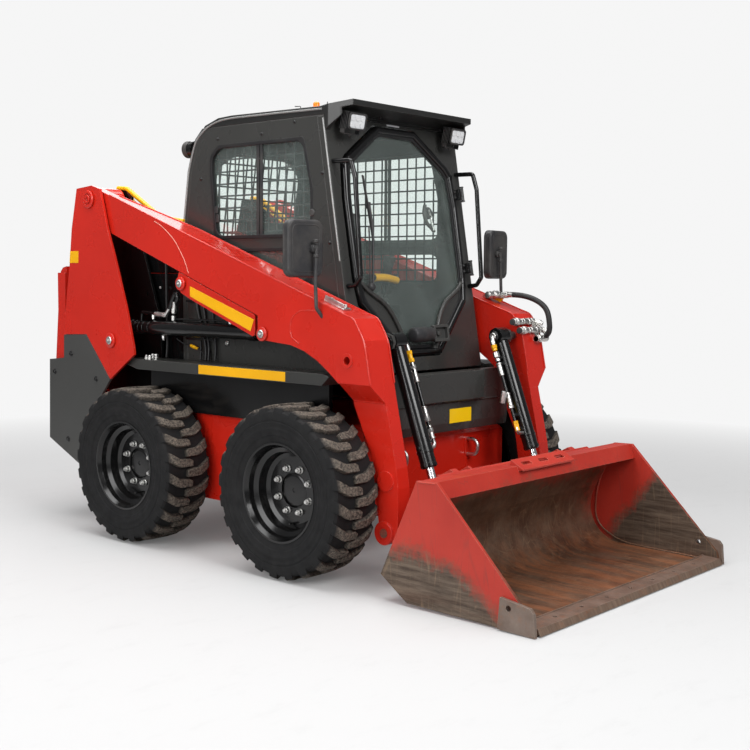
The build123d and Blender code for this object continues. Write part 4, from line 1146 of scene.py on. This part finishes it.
# ---- Auxiliary couplers ----
COUPLERS = [
    # y, z, x of the open end, x of the closed end
    (-327, 1112, 455, 640), (-352, 1070, 480, 680), (-368, 1026, 600, 696),
]
COLLARS = [
    # share of the length, length, radius, sides
    (0.0, 7, 17.0, 24), (0.10, 30, 19.0, 24), (0.13, 5, 20.5, 24), (0.34, 16, 17.5, 6),
    (0.46, 34, 16.2, 24), (0.68, 20, 19.0, 6), (0.85, 14, 17.0, 24),
]
COUPLER_ELBOW = [(0, 15), (16, 15), (17, 18), (34, 18), (35, 13), (46, 12)]
COUPLER_PORTS = [
    # start, direction, profile, sides
    ((640, -327, 1112), (0.35, -1, -0.3), COUPLER_ELBOW, 6),
    ((668, -352, 1070), (0.35, -1, -0.3), COUPLER_ELBOW, 6),
    ((585, -115, 1243), (1, 0, 0), [(0, 16), (2, 21), (16, 21), (18, 17), (26, 15), (28, 21)], 24),
    ((612, -150, 1243), (0, -1, 0), [(0, 13), (14, 13), (15, 16), (34, 16), (35, 13), (62, 12.5)], 24),
    ((588, -130, 1243), (-1, 0, 0),
     [(0, 15), (10, 17), (24, 17), (26, 13), (52, 13), (54, 18), (78, 18), (80, 14)], 24),
]
CHAMFER = 1.5
couplers = Piece()
for y, z, x0, x1 in COUPLERS:
    for share, length, radius, sides in COLLARS:
        start = at(x0 + (x1 - x0) * share * 0.96, y, z)
        cut, edge = radius - CHAMFER, length - CHAMFER
        couplers.turned(start, (1, 0, 0), [(0, cut), (CHAMFER, radius), (edge, radius), (length, cut)], sides)
for start, direction, profile, sides in COUPLER_PORTS:
    couplers.turned(at(*start), direction, profile, sides)
couplers.finish("aux_coupler_collars", "lift_arms", "zinc", bevel=0.6)
bracket = Piece()
bracket.slab(row_at(604, ((-168, 1232), (-62, 1232), (-92, 1222), (-140, 1205))), mm(8, 0, 0))
bracket.finish("aux_coupler_wedge", "lift_arms", "yellow_paint", bevel=1)
caps = Piece()
for y, z, x0, x1 in COUPLERS[:2]:
    caps.turned(at(x0 - 1, y, z), (-1, 0, 0), [(0, 15.5), (8, 15.5), (10, 13)], 20)
caps.finish("aux_coupler_caps", "lift_arms", "black_plastic")

# ---- Cylinders: glands, hose ends and pipe clamps ----
def along_cylinder(base, eye, x, distance, out=0.0):
    """A point in the plane x at a distance from base towards eye, moved outwards from the axis."""
    length = math.dist(base, eye)
    ahead = ((eye[0] - base[0]) / length, (eye[1] - base[1]) / length)
    y = base[0] + ahead[0] * distance + ahead[1] * out
    z = base[1] + ahead[1] * distance - ahead[0] * out
    return at(x, y, z)


HOSE_ENDS = {
    # side: from, to, radius, sides, slot, along the hose that runs beside the tilt barrel
    "right": [
        (46, 62, 14, 6, "yellow_paint"), (60, 84, 11.5, 20, "yellow_paint"),
        (82, 100, 14.5, 6, "yellow_paint"), (100, 112, 10, 20, "zinc"), (112, 130, 14.5, 6, "zinc"),
        (130, 186, 12.2, 20, "zinc"), (186, 192, 13.5, 20, "zinc"), (306, 312, 13.5, 20, "zinc"),
        (312, 352, 12.2, 20, "zinc"), (352, 374, 14.5, 6, "zinc"), (392, 402, 12, 20, "zinc"),
        (404, 424, 15, 6, "zinc"), (424, 446, 13, 20, "zinc"), (446, 454, 15, 20, "zinc"),
    ],
    "left": [
        (20, 40, 13, 20, "zinc"), (44, 60, 14.5, 6, "yellow_paint"), (60, 74, 12, 20, "yellow_paint"),
        (80, 108, 16, 6, "zinc"), (112, 128, 13, 20, "zinc"), (136, 144, 14.5, 20, "zinc"),
        (144, 200, 12.2, 20, "zinc"), (288, 296, 14, 20, "zinc"), (296, 352, 12.2, 20, "zinc"),
        (352, 366, 14.5, 6, "zinc"), (430, 444, 13, 6, "yellow_paint"), (444, 480, 15, 4, "yellow_paint"),
    ],
}
HOSE_OUT = -72  # the hose line beside the barrel, from the barrel's middle plane


def add_tilt_trim(side, way):
    """Hose ends beside a tilt barrel, its gland, clamps and top pin."""
    def spot(out, distance):
        return along_cylinder(TILT_TOP, TILT_EYE, way * (TILT_X + out), distance)

    body = f"tilt_barrel_{side}"
    fittings = {"yellow_paint": Piece(), "zinc": Piece()}
    for start, end, radius, sides, slot_name in HOSE_ENDS[side]:
        fittings[slot_name].rod(spot(HOSE_OUT, start), spot(HOSE_OUT, end), radius, sides, CHAMFER)
    plated = fittings["zinc"]
    plated.bent([spot(*p) for p in ((-34, 4), (-66, 4), (HOSE_OUT, 44))], 20, 11, 14)
    plated.bent([spot(*p) for p in ((HOSE_OUT, 452), (-77, 475), (-66, 490), (-36, 492))], 16, 9.5, 14)
    if side == "left":
        tee = spot(HOSE_OUT, 300)
        plated.rod(tee, tee + mm(-46, -4, -6), 10, 6)
        plated.rod(tee + mm(-46, -10, 24), tee + mm(-46, 0, -34), 13, 6, CHAMFER)
    for slot_name, piece in fittings.items():
        piece.finish(f"tilt_fittings_{slot_name}_{side}", body, slot_name, bevel=0.6)
    trim = Piece()
    for start, end, radius in ((500, 512, 38.5), (556, 574, 38.0), (574, 578, 33.0)):
        trim.rod(spot(0, start), spot(0, end), radius, 40, CHAMFER)
    for distance in (140, 400):
        trim.box(spot(0, distance) - OUT[side] * 52 * MM, (40, 18, 16), (-20, 0, 0))
    trim.turned(spot(24, 488), OUT[side], [(0, 13), (18, 13), (20, 10)], 6)
    trim.finish(f"tilt_gland_{side}", body, "black_steel", bevel=1)
    caps, rings = Piece(), Piece()
    pin_cap(rings, caps, at(way * (TILT_X - 47), *TILT_TOP), (-way, 0, 0), 27, 18)
    rings.turned(at(way * (TILT_X + 54), *TILT_TOP), OUT[side], [(0, 30), (8, 30), (10, 27)], 28)
    rings.finish(f"tilt_pin_washers_{side}", "lift_arms", "black_steel", bevel=0.8)
    caps.finish(f"tilt_pin_caps_{side}", "lift_arms", "zinc", bevel=0.8)


for side, way in SIDES.items():
    add_tilt_trim(side, way)

LIFT_RINGS = [
    # from, to, radius
    (48, 66, 36), (84, 98, 35), (118, 128, 34), (150, 162, 33.5), (196, 206, 33), (226, 240, 35),
    (955, 985, 41), (985, 1001, 39), (1001, 1005, 33),
]
LIFT_PLUGS = [
    # from and to as (distance, out), radius, sides
    ((236, 70), (306, 67), 12.6, 20), ((306, 67), (322, 69), 14.5, 6), ((392, 134), (386, 100), 12.4, 20),
    ((386, 100), (383, 76), 14.5, 6), ((382, 64), (381, 40), 12.5, 6), ((220, 66), (221, 42), 9, 6),
    ((807, 50), (807, 34), 10, 6), ((300, -38), (300, -54), 10, 6), ((300, -54), (300, -62), 6, 12),
]


def add_lift_trim(side, way):
    """Rings, hoses and fittings on a lift barrel, and the pin ends on the tower beside it."""
    def spot(distance, out=0.0):
        return along_cylinder(LIFT_BASE, LIFT_EYE, way * LIFT_X, distance, out)

    body = f"lift_barrel_{side}"
    rings = Piece()
    for start, end, radius in LIFT_RINGS:
        rings.rod(spot(start), spot(end), radius, 40, CHAMFER)
    rings.bent([spot(*p) for p in ((352, 98), (372, 142), (396, 176), (418, 162), (408, 140))], 22, 13, 14)
    rings.finish(f"lift_gland_{side}", body, "black_steel", bevel=0.8)
    plated = Piece()
    for a, b, radius, sides in LIFT_PLUGS:
        plated.rod(spot(*a), spot(*b), radius, sides, CHAMFER)
    plated.bent([spot(*p) for p in ((318, 68), (334, 84), (352, 104), (366, 130))], 18, 10.2, 12)
    plated.finish(f"lift_fittings_{side}", body, "zinc", bevel=0.6)
    caps, washers = Piece(), Piece()
    pin_cap(washers, caps, at(way * (TOWER_OUT + 5), 1395, 992), OUT[side], 38, 21)
    pivot = at(way * (TOWER_OUT + 4), *ARM_PIVOT)
    washers.turned(pivot, OUT[side], [(0, 46), (7, 46), (10, 42), (10, 31), (3, 29)], 40)
    washers.turned(pivot, OUT[side], [(0, 22), (12, 22), (13, 19), (13, 12), (4, 11)], 28)
    washers.finish(f"tower_washers_{side}", "chassis", "red_paint", bevel=1)
    caps.finish(f"tower_pin_caps_{side}", "chassis", "zinc", bevel=0.8)


for side, way in SIDES.items():
    add_lift_trim(side, way)

# ---- Chassis: guard bolts, hoses, brackets ----
GUARD_BOLTS = [(1754, 905), (1530, 782), (1793, 438), (1910, 800), (1620, 380)]
INNER_HOSES = [
    # y low, z low, y high, z high, radius
    (872, 905, 1001, 1330, 8), (850, 905, 927, 1330, 7), (800, 906, 854, 1330, 7),
    (912, 905, 960, 1320, 6), (1180, 905, 1195, 1480, 7),
]
AXLE_BOLTS = [(0, 318), (0, 455), (-68, 386), (68, 386), (1103, 318), (1103, 455), (1035, 386), (1171, 386)]
TAIL_LIGHTS = [("stop", 1240, "tail_red"), ("turn", 1150, "amber_lens")]  # name, height, material


def add_chassis_trim(side, way):
    """Bolts, hoses, wires, welds and tail lights on one side of the chassis."""
    bolts = Piece()
    for y, z in GUARD_BOLTS:
        bolts.turned(at(way * TOWER_OUT, y, z), OUT[side], [(0, 15), (2, 15), (3, 12)], 24)
        bolts.bolt(at(way * (TOWER_OUT + 1), y, z), OUT[side], 17, 8, washer=False)
    bolts.finish(f"guard_bolts_{side}", "chassis", "black_steel", bevel=0.6)
    hoses = Piece()
    for y0, z0, y1, z1, radius in INNER_HOSES:
        hoses.bent(spots(((500, y0, z0), (489, y0 + 6, z0 + 60), (489, y1, z1)), way), 40, radius, 10)
    hoses.finish(f"inner_hoses_{side}", "chassis", "rubber")
    clamps = Piece()
    for z in (1010, 1200, 1380):
        clamps.box(at(way * 489, 925, z), (12, 210, 12))
    clamps.finish(f"hose_clamps_{side}", "chassis", "black_steel", bevel=1.5)
    joints = Piece()
    for y, z in ((1217, 902), (1190, 902)):
        joints.turned(at(way * 560, y, z), (0, 0, 1), [(0, 16), (5, 16), (6, 12), (20, 12), (23, 9)], 6)
        joints.turned(at(way * 600, y, z), (0, 0, 1), [(0, 14), (4, 14), (5, 10), (16, 10), (19, 7)], 6)
    joints.turned(at(way * 482, 1344, 1231), OUT[side], [(0, 12), (8, 12), (12, 7)], 6)
    joints.turned(at(way * 482, 1246, 1266), OUT[side], [(0, 8), (6, 8), (9, 5)], 6)
    joints.turned(at(way * 480, 731, 997), OUT[side], [(0, 12), (5, 12), (8, 8)], 16)
    joints.finish(f"rail_fittings_{side}", "chassis", "zinc", bevel=0.6)
    plug = Piece()
    plug.rod(at(way * 500, 985, 976), at(way * 500, 948, 966), 9, 6, 1.5)
    plug.rod(at(way * 500, 950, 966), at(way * 500, 930, 962), 7, 6, 1)
    plug.finish(f"wire_plug_{side}", "chassis", "yellow_paint")
    wires = Piece()
    wires.bent(spots(((492, 1108, 1005), (500, 1040, 980), (500, 985, 976)), way), 30, 3, 8)
    wires.bent(spots(((500, 930, 962), (500, 890, 945), (502, 872, 908)), way), 30, 3, 8)
    wires.finish(f"wires_{side}", "chassis", "rubber")
    axle_bolts = Piece()
    for y, z in AXLE_BOLTS:
        axle_bolts.bolt(at(way * 576, y, z), OUT[side], 19, 12)
    axle_bolts.finish(f"axle_bolts_{side}", "chassis", "zinc", bevel=0.5)
    weld = Piece()
    weld.tube([at(way * 558, -194, z) for z in (305, 560)], 4.5, 8)
    weld.tube([at(way * 252, -196, z) for z in (462, 538)], 4, 8)
    weld.finish(f"frame_welds_{side}", "chassis", "red_paint")
    tail = Piece()
    for _, z, _ in TAIL_LIGHTS:
        tail.turned(at(way * 629, 1899, z), (0, 1, 0), [(0, 33), (4, 33), (6, 28)], 28)
    tail.finish(f"tail_light_rim_{side}", "chassis", "black_plastic")
    for name, z, finish_name in TAIL_LIGHTS:
        lens = Piece()
        lens.turned(at(way * 629, 1904, z), (0, 1, 0), [(0, 28), (6, 26), (9, 14), (9.5, 3)], 28)
        lens.finish(f"{name}_light_{side}", "chassis", "amber_lens", material=MATERIALS[finish_name])


for side, way in SIDES.items():
    add_chassis_trim(side, way)

# ---- Rear door and hood ----
latch = Piece()
latch.slab([at(x, 2022, z) for x, z in rectangle(-540, 980, -450, 1100)], mm(0, 7, 0))
latch.bent(row_at(-495, ((2020, 1074), (2046, 1070), (2050, 1010), (2032, 1000))), 16, 8, 12)
latch.turned(at(-520, 2030, 1040), (0, 1, 0), [(0, 12), (5, 12), (6, 9)], 20)
latch.finish("rear_door_latch", "rear_door", "black_plastic", bevel=1.5)
LOUVRE_ROWS = 9
louvres = Piece()
for row in range(LOUVRE_ROWS):
    z = 620 + 62 * row
    y = 2050 - max(0.0, z - 868) * 46 / 448  # the door leans forwards above 868
    for x in (-300, 300):
        edge = [(x + a, y - 2, z + b) for a, b in rectangle(-172, 24, 172, 31)]
        louvres.slab(spots(edge), mm(0, 9, -4))
louvres.finish("rear_door_louvres", "rear_door", "red_paint", bevel=1.5)
plates = Piece()
for z in (645, 1195):
    for step in (-30, 30):
        plates.bolt(at(588, 2004, z + step) + mm(-12, 9, 0), (0, 1, 0), 15, 6)
plates.finish("rear_door_bolts", "rear_door", "zinc", bevel=0.5)
hood_bits = Piece()
HOOD_FRONT, HOOD_FALL = (1112, 1481), 0.0749  # y and height of the hood's front edge, and its slope
for x in (-300, 300):
    pad = [(x + a, y) for a, y in rectangle(-40, 1240, 40, 1560)]
    top = [(a, y, HOOD_FRONT[1] - (y - HOOD_FRONT[0]) * HOOD_FALL) for a, y in pad]
    hood_bits.slab(spots(top), mm(0, 0, 5))
hood_bits.bent(spots(((-70, 1862, 1411), (-70, 1878, 1436), (70, 1878, 1436), (70, 1862, 1411))), 14, 7, 10)
hood_bits.finish("hood_trim", "engine_hood", "black_plastic", bevel=1.5)

# ---- Bucket: weld beads ----
beads = Piece()
for way in (1, -1):
    x = way * 759
    corners = row_at(x, ((-1290, 16), (-780, 30), (-634, 110), (-640, 300), (-734, 500)))
    beads.bent(corners, 140, 4.5, 8, steps=10)
    beads.tube([at(way * 776, -736, 516), at(way * 776, -826, 519)], 3.5, 8)
beads.tube([at(-758, -738, 508), at(758, -738, 508)], 3.5, 8)
beads.finish("bucket_weld_beads", "bucket", "bucket_red")
edge_beads = Piece()
edge_beads.tube([at(-757, -1221, 35), at(757, -1221, 35)], 3.2, 8)
edge_beads.finish("edge_weld_bead", "bucket", "worn_steel")

# ---- Stage, light and camera ----
BACKGROUND = (0.92, 0.92, 0.92)
AMBIENT = (0.20, 0.20, 0.205)
FLOOR_REACH, AIM_HEIGHT = 60.0, 0.9  # half the floor's width, and the height the lights point at
SKY = [
    # kind of ray, what it sees
    ("Is Glossy Ray", (0.20, 0.20, 0.205)), ("Is Transmission Ray", BACKGROUND),
    ("Is Camera Ray", BACKGROUND),
]


def add_floor():
    """A scuffed floor that fades into the background away from the machine."""
    floor = Finish("floor")
    spot = floor.add("TexCoord", output="Object")
    away = floor.add("VectorMath", {0: spot}, output="Value", operation="LENGTH")
    marks = floor.band(floor.noise(3.2, 9, 0.75, (1, 2.5, 1), (0, 0, 0.5)), 0.54, 0.74)
    floor.set("Base Color", floor.mix(floor.times(marks, 0.30), (0.50, 0.50, 0.50), (0.38, 0.38, 0.38)))
    floor.set("Roughness", 0.75)
    glow = floor.add("Emission", {"Color": BACKGROUND, "Strength": 1.0})
    seen = floor.add("LightPath", output="Is Camera Ray")
    factor = floor.times(seen, floor.band(away, 2.6, 6.0, 0.10, 1.0))
    output = floor.tree.nodes["Material Output"]
    lit = floor.shader.outputs[0]
    floor.tree.links.new(floor.add("MixShader", {0: factor, 1: lit, 2: glow}), output.inputs["Surface"])
    mesh = bpy.data.meshes.new("floor")
    corners = rectangle(-FLOOR_REACH, -FLOOR_REACH, FLOOR_REACH, FLOOR_REACH)
    mesh.from_pydata([(x, y, 0) for x, y in corners], [], [(0, 1, 2, 3)])
    mesh.materials.append(floor.material)
    obj = bpy.data.objects.new("floor", mesh)
    bpy.context.scene.collection.objects.link(obj)


AREA_LIGHTS = [
    # name, place, width, height, watts
    ("top", (-0.5, 0.5, 5.2), 5.0, 5.0, 380.0),
    ("front", (-1.3, -5.6, 4.6), 3.2, 3.2, 330.0),
    ("side", (-6.5, 0.5, 3.0), 3.5, 3.5, 190.0),
    ("back", (4.0, 5.5, 3.5), 3.0, 3.0, 90.0),
    ("strip", (-5.6, -2.4, 1.9), 0.3, 3.4, 60.0),
]


def add_lights():
    """Soft lamps around the machine and an even grey sky."""
    for name, place, width, height, watts in AREA_LIGHTS:
        lamp = bpy.data.lights.new(name, "AREA")
        lamp.shape, lamp.energy = "RECTANGLE", watts
        lamp.size, lamp.size_y = width, height
        obj = bpy.data.objects.new(name, lamp)
        obj.location = place
        aim = Vector((0, 0, AIM_HEIGHT)) - Vector(place)
        obj.rotation_euler = aim.to_track_quat("-Z", "Y").to_euler()
        bpy.context.scene.collection.objects.link(obj)
    world = bpy.data.worlds.new("studio")
    bpy.context.scene.world = world
    world.use_nodes = True
    tree = world.node_tree
    path = tree.nodes.new("ShaderNodeLightPath")
    colour = None
    for ray, shown in SKY:
        mix = tree.nodes.new("ShaderNodeMix")
        mix.data_type = "RGBA"
        if colour:
            tree.links.new(colour, mix.inputs[6])
        else:
            mix.inputs[6].default_value = (*AMBIENT, 1)
        mix.inputs[7].default_value = (*shown, 1)
        tree.links.new(path.outputs[ray], mix.inputs[0])
        colour = mix.outputs[2]
    tree.links.new(colour, tree.nodes["Background"].inputs["Color"])


CAMERA_PLACE = (-4381.8, -3684.3, 1323.9)
CAMERA_YAW, CAMERA_PITCH, CAMERA_ROLL = 48.601, 4.688, 0.417  # degrees: to the right, down, clockwise
CAMERA_LENS, SENSOR_WIDTH = 56.8, 36.0


def add_camera():
    """The camera, low in front of the machine's right side."""
    yaw, pitch, roll = (math.radians(a) for a in (CAMERA_YAW, CAMERA_PITCH, CAMERA_ROLL))
    ahead = Vector((math.sin(yaw) * math.cos(pitch), math.cos(yaw) * math.cos(pitch), -math.sin(pitch)))
    right = Vector((math.cos(yaw), -math.sin(yaw), 0))
    up = right.cross(ahead)
    turned_right = right * math.cos(roll) + up * math.sin(roll)
    turned_up = up * math.cos(roll) - right * math.sin(roll)
    camera = bpy.data.objects.new("camera", bpy.data.cameras.new("camera"))
    camera.data.lens, camera.data.sensor_width = CAMERA_LENS, SENSOR_WIDTH
    turn = Matrix((turned_right, turned_up, -ahead)).transposed()
    camera.matrix_world = Matrix.Translation(at(*CAMERA_PLACE)) @ turn.to_4x4()
    bpy.context.scene.collection.objects.link(camera)
    bpy.context.scene.camera = camera


add_floor()
add_lights()
add_camera()
bpy.context.scene.view_settings.view_transform = "Standard"
